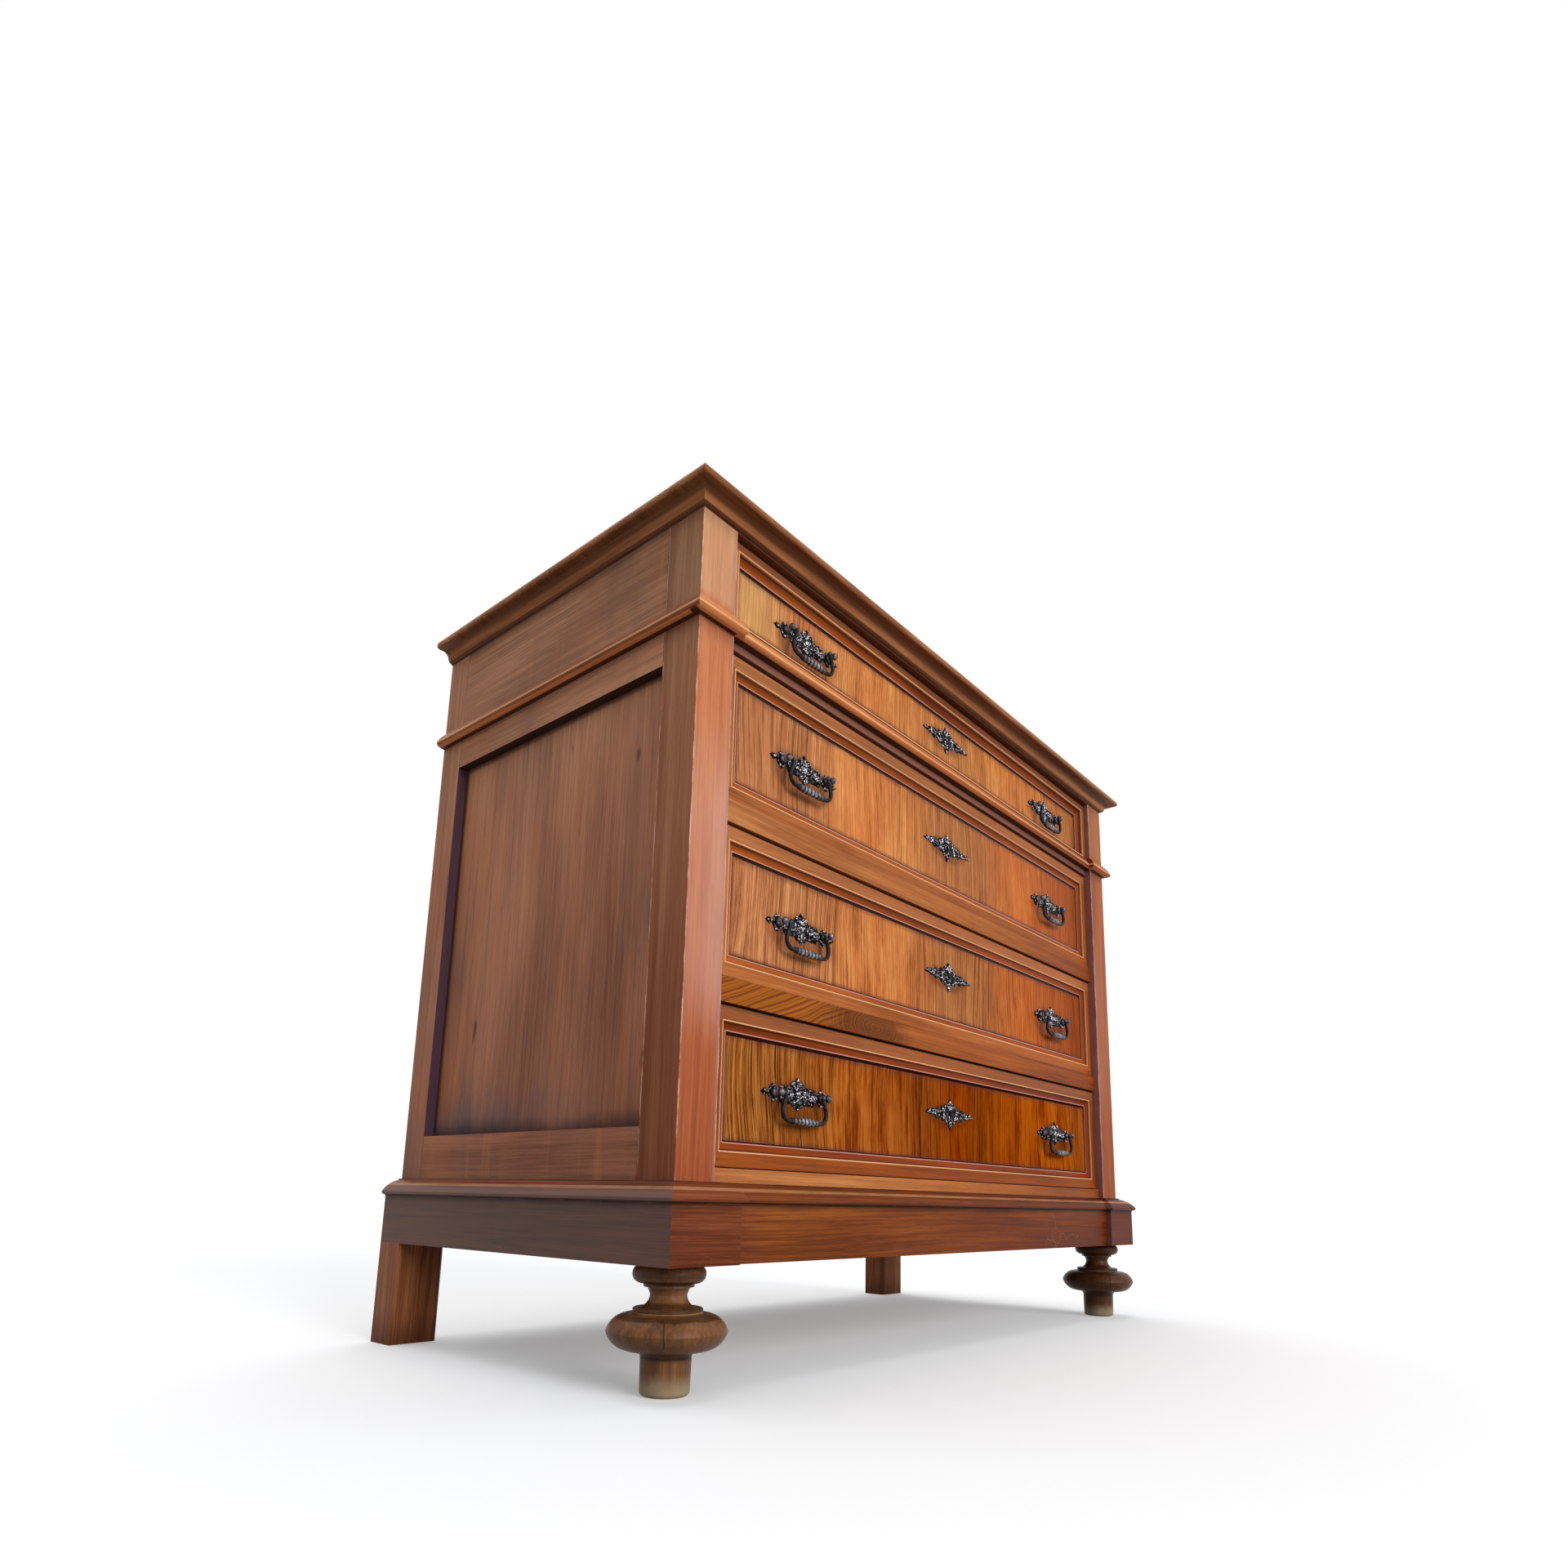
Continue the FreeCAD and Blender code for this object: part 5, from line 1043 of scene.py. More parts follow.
def shell(sections, rise, ring=False):
    # sections (rows, points, 3) and rise (rows, points); a ring joins its last row to its first
    rows, count = sections.shape[:2]
    last = rows if ring else rows - 1
    row, spot = np.meshgrid(np.arange(last), np.arange(count), indexing="ij")
    after = (row + 1) % rows
    beside = (spot + 1) % count
    quads = np.stack([row*count + spot, row*count + beside, after*count + beside, after*count + spot],
                     axis=-1).reshape(-1, 4)
    points = sections.reshape(-1, 3)
    lift = np.asarray(rise, dtype=float).reshape(-1)
    fans = np.zeros((0, 3), dtype=int)
    if not ring:
        spots = np.arange(count)
        ends = np.array([sections[0].mean(axis=0), sections[-1].mean(axis=0)])
        points = np.concatenate([points, ends])
        lift = np.concatenate([lift, [lift[:count].mean(), lift[-count:].mean()]])
        head = rows*count
        first = np.stack([np.full(count, head), (spots + 1) % count, spots], axis=-1)
        base = (rows - 1)*count
        final = np.stack([np.full(count, head + 1), base + spots, base + (spots + 1) % count], axis=-1)
        fans = np.concatenate([first, final])
    corners = np.concatenate([quads[:, [0, 1, 2]], quads[:, [0, 2, 3]], fans])
    a, b, c = (points[corners[:, index]] for index in range(3))
    volume = np.einsum("ij,ij->i", a, np.cross(b, c)).sum()
    if volume < 0:                                  # turn the faces outwards
        quads = quads[:, ::-1]
        fans = fans[:, ::-1]
    return points, quads, fans, lift


def placed(part, shift):
    points, quads, fans, lift = part
    return points + np.array(shift), quads, fans, lift


castLook = {
    "slot": "dark_bronze",
    "sharpAngle": 38.0,          # degrees between faces that makes an edge crisp
}


def makePiece(name, parts, material, body, replaced, sheetEvery=0):
    # joins the parts; with sheetEvery set, the first and then every so many-th is a carved sheet
    starts = np.cumsum([0] + [len(part[0]) for part in parts])
    points = np.concatenate([part[0] for part in parts])*millimetre
    faces = []
    for part, start in zip(parts, starts):
        faces += (part[1] + start).tolist() + (part[2] + start).tolist()
    mesh = bpy.data.meshes.new(name)
    mesh.from_pydata(points.tolist(), [], faces)
    mesh.update()
    mesh.shade_smooth()
    mesh.set_sharp_from_angle(angle=math.radians(castLook["sharpAngle"]))
    carved = [np.full(len(part[0]), float(bool(sheetEvery) and index % sheetEvery == 0))
              for index, part in enumerate(parts)]
    for word, values in (("rise", [part[3] for part in parts]), ("carved", carved)):
        attribute = mesh.attributes.new(word, "FLOAT", "POINT")
        attribute.data.foreach_set("value", np.concatenate(values).astype(np.float32))
    mesh.materials.append(material)
    piece = bpy.data.objects.new(name, mesh)
    bpy.context.scene.collection.objects.link(piece)
    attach(piece, body)
    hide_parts(*replaced)
    return piece


def turning(axis, profile, rise, count=24):
    # a profile of (distance along the axis, radius) carried round that axis through the origin
    angle = np.linspace(0.0, 2.0*np.pi, count, endpoint=False)
    along, radius = np.asarray(profile, dtype=float).T
    rows = np.zeros((len(along), count, 3))
    first, second, third = {"x": (0, 1, 2), "y": (1, 2, 0)}[axis]
    rows[:, :, first] = along[:, None]
    rows[:, :, second] = radius[:, None]*np.cos(angle)
    rows[:, :, third] = radius[:, None]*np.sin(angle)
    lift = np.broadcast_to(np.asarray(rise, dtype=float).reshape(-1, 1), (len(along), count))
    return shell(rows, lift)


def tube(path, radius, rise, count=18):
    # a circle of changing radius carried along a path in the plane of x and z
    tangent = np.gradient(path, axis=0)
    tangent /= np.linalg.norm(tangent, axis=1, keepdims=True)
    outward = np.array([0.0, 1.0, 0.0])
    across = np.cross(tangent, outward)
    angle = np.linspace(0.0, 2.0*np.pi, count, endpoint=False)[None, :, None]
    rows = path[:, None] + radius[:, None, None]*(np.cos(angle)*across[:, None] + np.sin(angle)*outward)
    return shell(rows, np.broadcast_to(rise[:, None], rows.shape[:2]))


# Relief of the cast plates, in millimetres: u to the right, v up, and the height out of the wood

def nearness(u, v, curve):
    # distance from every point of a grid to the nearest point of a curve (n, 2)
    gaps = np.stack([u, v], axis=-1)[..., None, :] - curve
    return np.sqrt((gaps**2).sum(axis=-1)).min(axis=-1)


def ridge(u, v, curve, width, height):
    # a rounded rib along a curve: height times a bell of the distance from it
    return height*np.exp(-(nearness(u, v, curve)/width)**2)


def spiral(centre, radii, angles, count=48):
    # radius and angle both run evenly from their first value to their last
    share = np.linspace(0.0, 1.0, count)
    radius = radii[0] + (radii[1] - radii[0])*share
    angle = np.radians(angles[0] + (angles[1] - angles[0])*share)
    return np.stack([centre[0] + radius*np.cos(angle), centre[1] + radius*np.sin(angle)], axis=-1)


def stroke(start, bend, end, count=24):
    # a curve from start to end, pulled towards bend
    share = np.linspace(0.0, 1.0, count)[:, None]
    start, bend, end = (np.array(point, dtype=float) for point in (start, bend, end))
    return start*(1 - share)**2 + 2*bend*share*(1 - share) + end*share**2


def dome(u, v, centre, radius, height):
    # a round boss: the square root of what is left of the radius
    left = 1.0 - ((u - centre[0])**2 + (v - centre[1])**2)/radius**2
    return height*np.sqrt(np.clip(left, 0.0, None))


def fan(u, v, root, ribs, width, height):
    # the ribs (length, angle) of a palmette or hanging leaf, each fatter towards its tip
    root = np.array(root)
    forms = []
    for length, angle in ribs:
        tip = root + length*np.array([math.sin(math.radians(angle)), math.cos(math.radians(angle))])
        forms.append(ridge(u, v, stroke(root, (root + tip)/2.0, tip), width, height))
        forms.append(dome(u, v, tip - 0.08*(tip - root), width*1.5, height*1.25))
    return np.maximum.reduce(forms)


def scrollwork(u, v, curves):
    # the ribs of all scrolls and strokes of a plate
    return np.maximum.reduce([ridge(u, v, curve, 0.90, 1.9) for curve in curves])


plateLook = {
    "base": 1.5,
    "step": 0.45,                # spacing of the loops along the plate
    "across": 49,
    "end": 66.0,
    "top": (
        (0, 22.5), (1.4, 21.9), (3.2, 19.4), (4.8, 17.2), (6.2, 17.4), (8.2, 17.6), (10.2, 16.0),
        (11.6, 13.4), (12.4, 11.8), (13.6, 10.6), (15.5, 10.8), (18, 11.4), (21, 10.4), (24, 11.2),
        (27, 10.6), (30, 11.2), (32.2, 9.2), (34.2, 5.0), (36.4, 3.8), (38.2, 6.0), (40.5, 9.4),
        (43.0, 11.1), (45.2, 11.4), (48.0, 10.2), (50.6, 7.2), (52.8, 3.8), (54.2, 2.2), (55.6, 2.3),
        (57.2, 3.7), (59.0, 4.4), (61.4, 3.7), (64.0, 1.5), (66.0, 0.35)),
    "bottom": (
        (0, -19.0), (1.4, -18.4), (3.0, -16.0), (4.4, -14.2), (6.0, -14.8), (8.0, -15.0), (9.8, -13.2),
        (11.4, -11.2), (13.4, -10.4), (16, -11.4), (19, -10.6), (22, -11.6), (25, -10.8), (28, -11.6),
        (30.4, -11.4), (32.4, -8.8), (34.2, -5.0), (36.4, -3.8), (38.2, -6.0), (40.5, -9.4),
        (43.0, -11.1), (45.2, -11.4), (48.0, -10.2), (50.6, -7.2), (52.8, -3.8), (54.2, -2.2),
        (55.6, -2.3), (57.2, -3.7), (59.0, -4.4), (61.4, -3.7), (64.0, -1.5), (66.0, -0.35)),
    "scrolls": (
        spiral((17.6, -0.6), (4.3, 0.7), (205.0, -230.0)),
        spiral((26.4, 0.8), (4.3, 0.7), (25.0, -410.0)),
        stroke((12.0, 4.6), (20.0, 5.4), (23.6, -4.4)),
        stroke((20.6, 4.8), (24.0, -6.0), (31.5, -4.6)),
        stroke((8.2, -2.0), (12.0, 2.0), (13.0, 6.0)),
        spiral((31.6, 0.0), (3.0, 0.6), (-120.0, 260.0))),
    "rims": ((8.8, 13.0), (-9.0, 10.0)),             # level and start of the ribs along both edges
    "palmette": ((14.6, 0.0), (14.0, 22.0), (12.6, 44.0), (9.4, 68.0)),
    "drop": ((12.6, 180.0), (9.8, 150.0), (7.6, 122.0)),
    "postX": 44.0,
    "leaf": (35.5, 54.6),        # where the leaf round the post begins and ends
}


def plateRelief(u, v, halfHeight):
    # scrolls, palmette, drop and boss; then the leaf round the post and the bud at the tip
    look = plateLook
    side = np.abs(u)
    rims = [ridge(side, v, stroke((start, level), (22.0, level*0.92), (31.0, level)), 0.75, 1.0)
            for level, start in look["rims"]]
    relief = np.maximum.reduce([
        *rims,
        scrollwork(side, v, look["scrolls"]),
        fan(side, v, (0.0, 7.0), look["palmette"], 0.95, 1.6),
        fan(side, v, (0.0, -5.0), look["drop"], 0.95, 1.5),
        dome(side, v, (0.0, 1.2), 4.6, 2.6),
        ridge(side, v, spiral((0.0, 1.2), (6.2, 6.2), (-90.0, 90.0)), 0.7, 1.3),
        dome(side, v, (10.4, 12.6), 2.2, 1.9),
    ])
    # the leaf round the post: a proud rim, a deep cup, and veins from the post
    edge = np.abs(v)/np.maximum(halfHeight, 0.5)
    cup = 1.9*np.exp(-((edge - 0.80)/0.15)**2) - 0.75*np.exp(-(edge/0.62)**4)
    around = np.arctan2(v, side - look["postX"])
    cup = cup + 0.18*np.cos(9.0*around)*np.clip(edge, 0.0, 1.0)
    first, last = look["leaf"]
    relief = np.where((side > first) & (side < last), np.maximum(cup, relief*0.3), relief)
    bud = 1.7*np.exp(-(v/1.5)**2)*np.clip((66.5 - side)/9.0, 0.0, 1.0)
    return np.where(side > 54.0, np.maximum(bud, 0.25), relief)


def lobedSheet(look, relief, start):
    # loops across a plate: its front swells from both outlines as a root of 1 - s^6, its back is flat
    u = np.linspace(start, look["end"], int((look["end"] - start)/look["step"]) + 1)
    top = np.interp(np.abs(u), *np.array(look["top"]).T)
    bottom = np.interp(np.abs(u), *np.array(look["bottom"]).T)
    s = np.sin(np.linspace(-np.pi/2, np.pi/2, look["across"]))
    half = (top - bottom)[:, None]/2.0
    v = (top + bottom)[:, None]/2.0 + half*s
    uu = np.broadcast_to(u[:, None], v.shape)
    swell = np.sqrt(np.clip(1.0 - np.abs(s)**6, 0.0, 1.0))
    carved = relief(uu, v, np.broadcast_to(half, v.shape))
    rows = np.stack([uu, -swell*(look["base"] + carved), v], axis=-1)
    # rise falls off down the swell to the outline, painting the sheet darker where it meets the wood, as
    # shade
    rise = np.clip(0.28 + carved/2.6, 0.0, 1.0)*np.broadcast_to(0.55 + 0.45*swell, v.shape)
    return shell(rows, rise)


postTurning = {
    "profile": (                 # distance out of the wood and radius, up to the neck under the knob
        (0.6, 4.4), (1.6, 5.2), (2.6, 5.5), (3.6, 5.3), (4.6, 4.6), (5.2, 3.5), (6.0, 2.9), (7.2, 2.7),
        (8.4, 2.9), (9.2, 3.4), (10.0, 3.2)),
    "knob": 4.6,
    "bore": 1.68,
    "boreDepth": 3.6,
    "stud": ((21.0, 2.0), (28.6, 2.0), (29.0, 1.6)),
    "nutHalf": 4.5,
    "nutThickness": 4.0,
}


def knobWithEye(direction):
    # a ball turned about the pivot line, with a blind hole on the side of the bail
    knob, bore = postTurning["knob"], postTurning["bore"]
    mouth = math.sqrt(knob**2 - bore**2)
    bottom = knob - postTurning["boreDepth"]
    angle = np.linspace(math.asin(bore/knob), math.pi - 0.05, 22)
    ball = knob*np.stack([np.cos(angle), np.sin(angle)], axis=-1)
    hole = np.array([(bottom, 0.05), (bottom, bore*0.6), (bottom, bore), ((bottom + mouth)/2.0, bore)])
    profile = np.concatenate([hole, ball])*np.array([-direction, 1.0])
    # the blind hole has rise 0, painted black as the shade inside it
    rise = np.concatenate([np.zeros(len(hole)), np.full(len(ball), 0.60)])
    return turning("x", profile, rise, 26)


def squareNut(half, thickness):
    # a square prism with its edges eased, carried along y
    angle = np.linspace(0.0, 2.0*np.pi, 32, endpoint=False) + np.pi/32.0
    square = np.stack([np.cos(angle), np.sin(angle)], axis=-1)
    reach = np.abs(square)
    square = square/np.maximum(reach.max(axis=-1, keepdims=True), reach.sum(axis=-1, keepdims=True)/1.9)
    rows = [np.stack([square[:, 0]*half*scale, np.full(len(square), along), square[:, 1]*half*scale], axis=-1)
            for along, scale in ((0.0, 0.94), (0.25, 1.0), (thickness - 0.25, 1.0), (thickness, 0.94))]
    return shell(np.array(rows), np.full((len(rows), len(square)), 0.5))


def makeHandlePlates(bronze):
    look = postTurning
    sheet = lobedSheet(plateLook, plateRelief, -plateLook["end"])
    stem = np.array(look["profile"])*np.array([-1.0, 1.0])
    # rise runs from dark by the wood, painted shade, to bright near the knob, a painted highlight
    post = turning("y", stem, np.linspace(0.25, 0.95, len(stem)), 28)
    stud = turning("y", look["stud"], (0.4, 0.4, 0.4), 16)
    nut = squareNut(look["nutHalf"], look["nutThickness"])
    for drawer in drawers:
        parts = []
        for side in sides.values():
            centre = np.array([side*chest["handleX"], chest["fieldY"], chest["handleZ"][drawer]])/millimetre
            parts.append(placed(sheet, centre))
            for direction in (-1, 1):
                spot = centre + np.array([direction*plateLook["postX"], 0.0, 0.0])
                parts.append(placed(post, spot))
                pivot = np.array([0.0, -chest["pivotOut"], 0.0])/millimetre
                parts.append(placed(knobWithEye(direction), spot + pivot))
                parts.append(placed(stud, spot))
                parts.append(placed(nut, spot + np.array([0.0, chest["frontThickness"], 0.0])/millimetre))
        makePiece(f"pullPlates{drawer}", parts, bronze, f"drawer_{drawer}",
                  [f"drawer_{drawer}_handle_plates"], sheetEvery=len(parts)//2)
    print("pull plates done")


# Bails: one bar from eye to eye, down two swan necks, round the corners and along a beaded grip

bailLook = {
    "topHalf": 34.5,
    "half": 40.5,
    "drop": 32.0,
    "corner": 11.0,
    "wire": 2.6,
    "grip": 3.5,
    "bead": 5.0,
    "beadHalf": 3.0,
    "beads": ((0.0, 1.0), (6.6, 0.94), (13.2, 0.84), (19.8, 0.66)),    # distance from the middle, size
    "ringAt": 24.6,
    "collarAt": -5.5,
    "eye": 3.0,
    "pin": 1.6,
    "pinEnd": 42.6,
}


def bailPath():
    # half of the bar: an eased swan neck, a quarter circle, then the straight half of the grip
    look = bailLook
    fall = look["drop"] - look["corner"]
    bendX = look["half"] - look["corner"]
    share = np.linspace(0.0, 1.0, 34)
    eased = 3*share**2 - 2*share**3
    neck = np.stack([look["topHalf"] + (look["half"] - look["topHalf"])*eased, -fall*share], axis=-1)
    angle = np.linspace(0.0, np.pi/2, 14)[1:]
    bend = np.stack([bendX + look["corner"]*np.cos(angle), -fall - look["corner"]*np.sin(angle)], axis=-1)
    straight = np.linspace(bendX, 0.0, 90)[1:]
    grip = np.stack([straight, np.full(len(straight), -look["drop"])], axis=-1)
    half = np.concatenate([neck, bend, grip])
    whole = np.concatenate([half, half[:-1][::-1]*np.array([-1.0, 1.0])])
    return np.stack([whole[:, 0], np.zeros(len(whole)), whole[:, 1]], axis=-1)


def bailRadius(path):
    # wire on the arms with a collar; the grip swells to its middle and carries beads and a fine ring
    look = bailLook
    side = np.abs(path[:, 0])
    low = path[:, 2] < -look["drop"] + 1e-6
    grip = look["wire"] + (look["grip"] - look["wire"])*np.clip((29.5 - side)/18.0, 0.0, 1.0)
    for centre, size in look["beads"]:
        left = 1.0 - ((side - centre)/look["beadHalf"])**2
        valley = look["grip"] - 0.3
        bead = valley + size*(look["bead"] - valley)*np.sqrt(np.clip(left, 0.0, None))
        grip = np.where(left > 0.0, bead, grip)
    grip = grip + 0.9*np.exp(-((side - look["ringAt"])/0.75)**2)
    collar = 0.8*np.exp(-((path[:, 2] - look["collarAt"])/0.9)**2)
    return np.where(low, grip, look["wire"] + collar)


def makeBails(bronze):
    look = bailLook
    path = bailPath()
    radius = bailRadius(path)
    rise = np.clip(0.46 + (radius - look["wire"] - 0.9)/6.0, 0.30, 0.70)
    bar = tube(path, radius, rise)
    angle = np.linspace(0.08, np.pi - 0.08, 15)
    ball = look["eye"]*np.stack([-np.cos(angle), np.sin(angle)], axis=-1)
    eye = turning("x", ball, np.full(len(ball), 0.55), 20)
    pin = np.array([(look["topHalf"], look["pin"]), (look["pinEnd"] - 0.4, look["pin"]),
                    (look["pinEnd"], look["pin"] - 0.4)])
    for drawer in drawers:
        for word, side in sides.items():
            centre = np.array([side*chest["handleX"], chest["fieldY"] - chest["pivotOut"],
                               chest["handleZ"][drawer]])/millimetre
            parts = [placed(bar, centre)]
            for direction in (-1, 1):
                parts.append(placed(eye, centre + np.array([direction*look["topHalf"], 0.0, 0.0])))
                turned = turning("x", pin*np.array([direction, 1.0]), (0.3, 0.3, 0.3), 16)
                parts.append(placed(turned, centre))
            makePiece(f"bail{drawer}{word.capitalize()}", parts, bronze, f"bail_{drawer}_{word}",
                      [f"drawer_{drawer}_bail_{word}"])
    print("bails done")


# Key plates: a pierced middle between the keyhole and its lobed outline, and two scrolled arms

keyPlateLook = {
    "base": 1.3,
    "step": 0.45,
    "across": 41,
    "end": 66.0,
    "top": (
        (0, 22.5), (1.6, 22.0), (3.0, 20.4), (4.0, 16.6), (5.0, 14.4), (6.6, 15.6), (9.0, 16.4),
        (11.6, 15.4), (13.0, 13.0), (13.8, 10.6), (15.4, 10.4), (18.0, 12.2), (21.0, 12.0), (23.4, 9.8),
        (25.0, 6.6), (27.0, 6.2), (30.0, 8.4), (34.0, 9.2), (38.0, 8.2), (41.0, 5.4), (43.0, 4.8),
        (46.0, 6.4), (49.0, 6.2), (51.6, 3.8), (53.4, 2.8), (56.0, 4.6), (59.0, 4.4), (62.0, 2.2),
        (66.0, 0.4)),
    "bottom": (
        (0, -22.5), (1.8, -21.6), (3.2, -18.6), (4.0, -14.6), (5.4, -12.6), (7.6, -14.4), (10.0, -14.0),
        (12.0, -11.4), (13.2, -8.6), (15.2, -8.6), (18.0, -10.4), (21.0, -9.8), (23.2, -7.2),
        (25.4, -5.0), (28.0, -5.6), (31.6, -8.2), (35.4, -8.4), (38.6, -6.4), (41.4, -4.2),
        (44.6, -4.6), (48.0, -5.2), (51.0, -3.2), (54.4, -2.4), (58.0, -3.0), (62.0, -1.6),
        (66.0, -0.4)),
    "scrolls": (
        spiral((43.6, 0.4), (4.4, 0.6), (150.0, -300.0)),
        spiral((56.0, 1.6), (2.4, 0.5), (200.0, -140.0)),
        stroke((24.0, 4.4), (32.0, 0.0), (40.0, 3.8)),
        stroke((22.0, -5.6), (31.0, -1.0), (47.0, -3.4)),
        stroke((47.0, -2.6), (56.0, -1.0), (65.0, 0.0)),
        spiral((17.0, 5.2), (4.6, 0.7), (-60.0, 330.0)),
        spiral((16.0, -4.0), (4.2, 0.7), (60.0, -300.0)),
        stroke((6.0, 15.6), (13.0, 14.6), (14.4, 9.4)),
        stroke((5.4, -15.2), (11.0, -13.0), (12.4, -7.6))),
    "crest": ((14.6, 0.0), (10.4, 26.0), (9.0, 56.0)),
    "drop": ((11.6, 180.0), (6.6, 134.0)),
    "hole": 2.9,
    "slotHalf": 1.3,
    "slotEnd": -8.5,
    "middle": 27.0,              # half the width of the pierced middle
    "overlap": 2.5,              # how far the arms reach into it
}


def keyPlateRelief(u, v, halfHeight=None):
    # scrolls, crest and drop, and a raised rim round the keyhole
    look = keyPlateLook
    side = np.abs(u)
    rim = np.concatenate([spiral((0.0, 0.0), (4.2, 4.2), (-52.0, 90.0)),
                          stroke((2.6, -3.3), (2.6, -6.0), (2.6, -9.0)),
                          stroke((2.6, -9.0), (1.4, -10.2), (0.0, -10.2))])
    return np.maximum.reduce([
        scrollwork(side, v, look["scrolls"]),
        fan(side, v, (0.0, 6.4), look["crest"], 0.9, 1.8),
        fan(side, v, (0.0, -9.6), look["drop"], 0.9, 1.5),
        ridge(side, v, rim, 0.7, 1.2),
    ])


def pierced(look, relief, count=220):
    # loops from the keyhole's edge out to the middle outline, all the way round
    u = np.linspace(0.0, look["middle"], 60)
    top = np.interp(u, *np.array(look["top"]).T)
    bottom = np.interp(u, *np.array(look["bottom"]).T)
    right = np.concatenate([np.stack([u, top], -1), np.stack([u[::-1], bottom[::-1]], -1)])
    outline = np.concatenate([right, right[::-1][1:-1]*np.array([-1.0, 1.0])])
    steps = np.linalg.norm(np.diff(outline, axis=0, append=outline[:1]), axis=1)
    length = np.concatenate([[0.0], np.cumsum(steps)])
    outline = np.concatenate([outline, outline[:1]])
    even = np.linspace(0.0, length[-1], count, endpoint=False)
    outer = np.stack([np.interp(even, length, outline[:, axis]) for axis in (0, 1)], axis=-1)
    angle = np.arctan2(outer[:, 0], outer[:, 1] + 3.0)
    ray = np.stack([np.sin(angle), np.cos(angle)], axis=-1)
    inner = ray*look["hole"]
    low = inner[:, 1] < -look["hole"]*0.82
    slotX = np.clip(ray[:, 0]/np.maximum(-ray[:, 1], 0.2)*6.0, -look["slotHalf"], look["slotHalf"])
    slot = np.stack([slotX, np.full(count, look["slotEnd"])], axis=-1)
    inner = np.where(low[:, None], slot, inner)
    share = (1.0 - np.cos(np.linspace(0.0, np.pi, look["across"])))/2.0
    flat = inner[:, None]*(1.0 - share[:, None]) + outer[:, None]*share[:, None]
    swell = np.sqrt(np.clip(1.0 - np.abs(2.0*share - 1.0)**8, 0.0, 1.0))
    carved = relief(flat[..., 0], flat[..., 1])
    rows = np.stack([flat[..., 0], -swell*(look["base"] + carved), flat[..., 1]], axis=-1)
    # rise falls off down the swell to the outline, painting the sheet darker where it meets the wood, as
    # shade
    rise = np.clip(0.28 + carved/2.4, 0.0, 1.0)*(0.55 + 0.45*swell)
    return shell(rows, rise, ring=True)


def makeKeyPlates(bronze):
    look = keyPlateLook
    middle = pierced(look, keyPlateRelief)
    arm = lobedSheet(look, keyPlateRelief, look["middle"] - look["overlap"])
    points, quads, fans, rise = arm
    other = (points*np.array([-1.0, 1.0, 1.0]), quads[:, ::-1], fans[:, ::-1], rise)
    for drawer in drawers:
        centre = np.array([0.0, chest["fieldY"], chest["keyholeZ"][drawer]])/millimetre
        parts = [placed(part, centre) for part in (middle, arm, other)]
        makePiece(f"keyPlate{drawer}", parts, bronze, f"drawer_{drawer}",
                  [f"drawer_{drawer}_escutcheon"], sheetEvery=1)
    print("key plates done")


# Floor, daylight and lamps

studio = {
    "white": (1.0, 1.0, 1.0, 1.0),
    "ambient": (0.90, 0.95, 1.00, 1.0),
    "ambientLevel": 0.52,
    "floorSize": 60.0,
    "floorSeen": (0.97, 0.97, 0.97, 1.0),
    "floorBounce": (0.34, 0.34, 0.34, 1.0),     # what the floor sends back to the chest
    "floorGlow": 0.25,           # share of plain white that the camera sees in the floor
    "lamps": {                   # direction of the light, level, and spread in degrees
        "keySun": ((0.06, 0.92, -0.36), 1.95, 35.0),
        "topSun": ((-0.16, -0.30, -1.0), 1.55, 62.0),
    },
}


def seenDirectly(tree):
    rays = shaderNode(tree, "LightPath").outputs
    return most(*[nodeValue(tree, rays[f"Is {way} Ray"]) for way in ("Camera", "Glossy", "Transmission")])


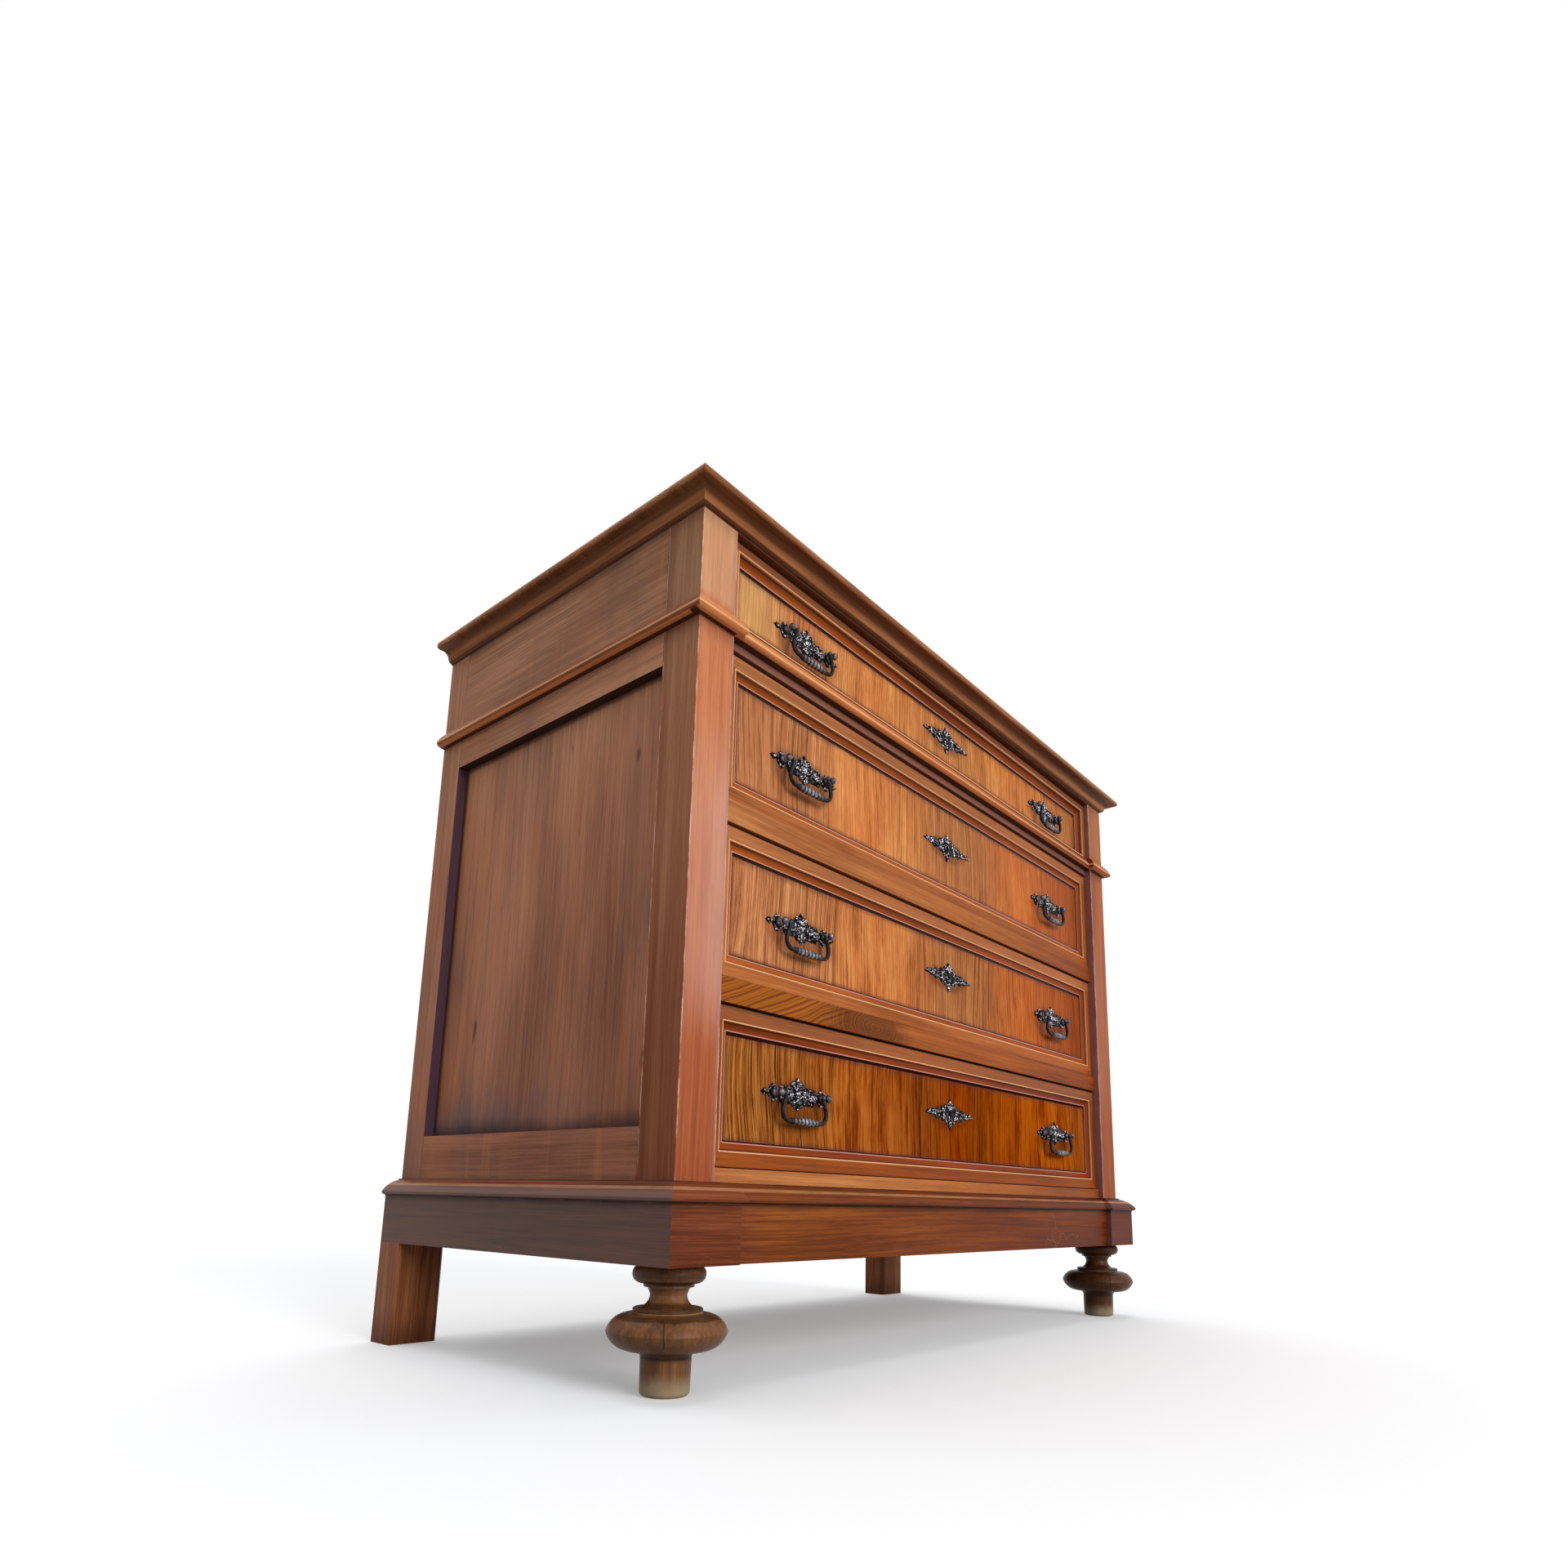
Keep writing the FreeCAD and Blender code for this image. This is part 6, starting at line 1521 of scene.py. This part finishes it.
def makeFloor():
    # plain pale floor, brighter to the camera than to the chest
    size = studio["floorSize"]
    corners = [(-size, -size, 0.0), (size, -size, 0.0), (size, size, 0.0), (-size, size, 0.0)]
    mesh = bpy.data.meshes.new("floor")
    mesh.from_pydata(corners, [], [(0, 1, 2, 3)])
    floor = bpy.data.objects.new("floor", mesh)
    bpy.context.scene.collection.objects.link(floor)
    material, tree, shader = newMaterial("paleFloor")
    seen = seenDirectly(tree)
    feedAll(tree, shader, {"Base Color": blend(seen, studio["floorBounce"], studio["floorSeen"]),
                           "Roughness": 1.0, "Specular IOR Level": 0.0})
    glow = shaderNode(tree, "Emission", {"Color": studio["white"], "Strength": 1.0})
    mixed = shaderNode(tree, "MixShader", {0: seen*studio["floorGlow"], 1: nodeValue(tree, shader.outputs[0]),
                                           2: nodeValue(tree, glow.outputs[0])})
    output = [node for node in tree.nodes if node.type == "OUTPUT_MATERIAL"][0]
    tree.links.new(mixed.outputs[0], output.inputs["Surface"])
    mesh.materials.append(material)


def makeStudio():
    world = bpy.data.worlds.new("studio")
    bpy.context.scene.world = world
    world.use_nodes = True
    tree = world.node_tree
    tree.nodes.clear()
    light = shaderNode(tree, "Background", {"Color": studio["ambient"], "Strength": studio["ambientLevel"]})
    white = shaderNode(tree, "Background", {"Color": studio["white"], "Strength": 1.0})
    both = shaderNode(tree, "MixShader", {0: seenDirectly(tree), 1: nodeValue(tree, light.outputs[0]),
                                          2: nodeValue(tree, white.outputs[0])})
    output = shaderNode(tree, "OutputWorld")
    tree.links.new(both.outputs[0], output.inputs["Surface"])
    makeFloor()
    for name, (direction, level, spread) in studio["lamps"].items():
        lamp = bpy.data.objects.new(name, bpy.data.lights.new(name, "SUN"))
        lamp.data.energy = level
        lamp.data.angle = math.radians(spread)
        lamp.rotation_euler = Vector(direction).to_track_quat("-Z", "Y").to_euler()
        bpy.context.scene.collection.objects.link(lamp)
    bpy.context.scene.view_settings.view_transform = "Standard"
    print("studio done")


makeCamera()
makeStudio()
dressFronts()
dressSides()
dressMouldings()
dressFeet()
dressPine()
dressSteel()
bronze = makeBronze()
makeHandlePlates(bronze)
makeBails(bronze)
makeKeyPlates(bronze)
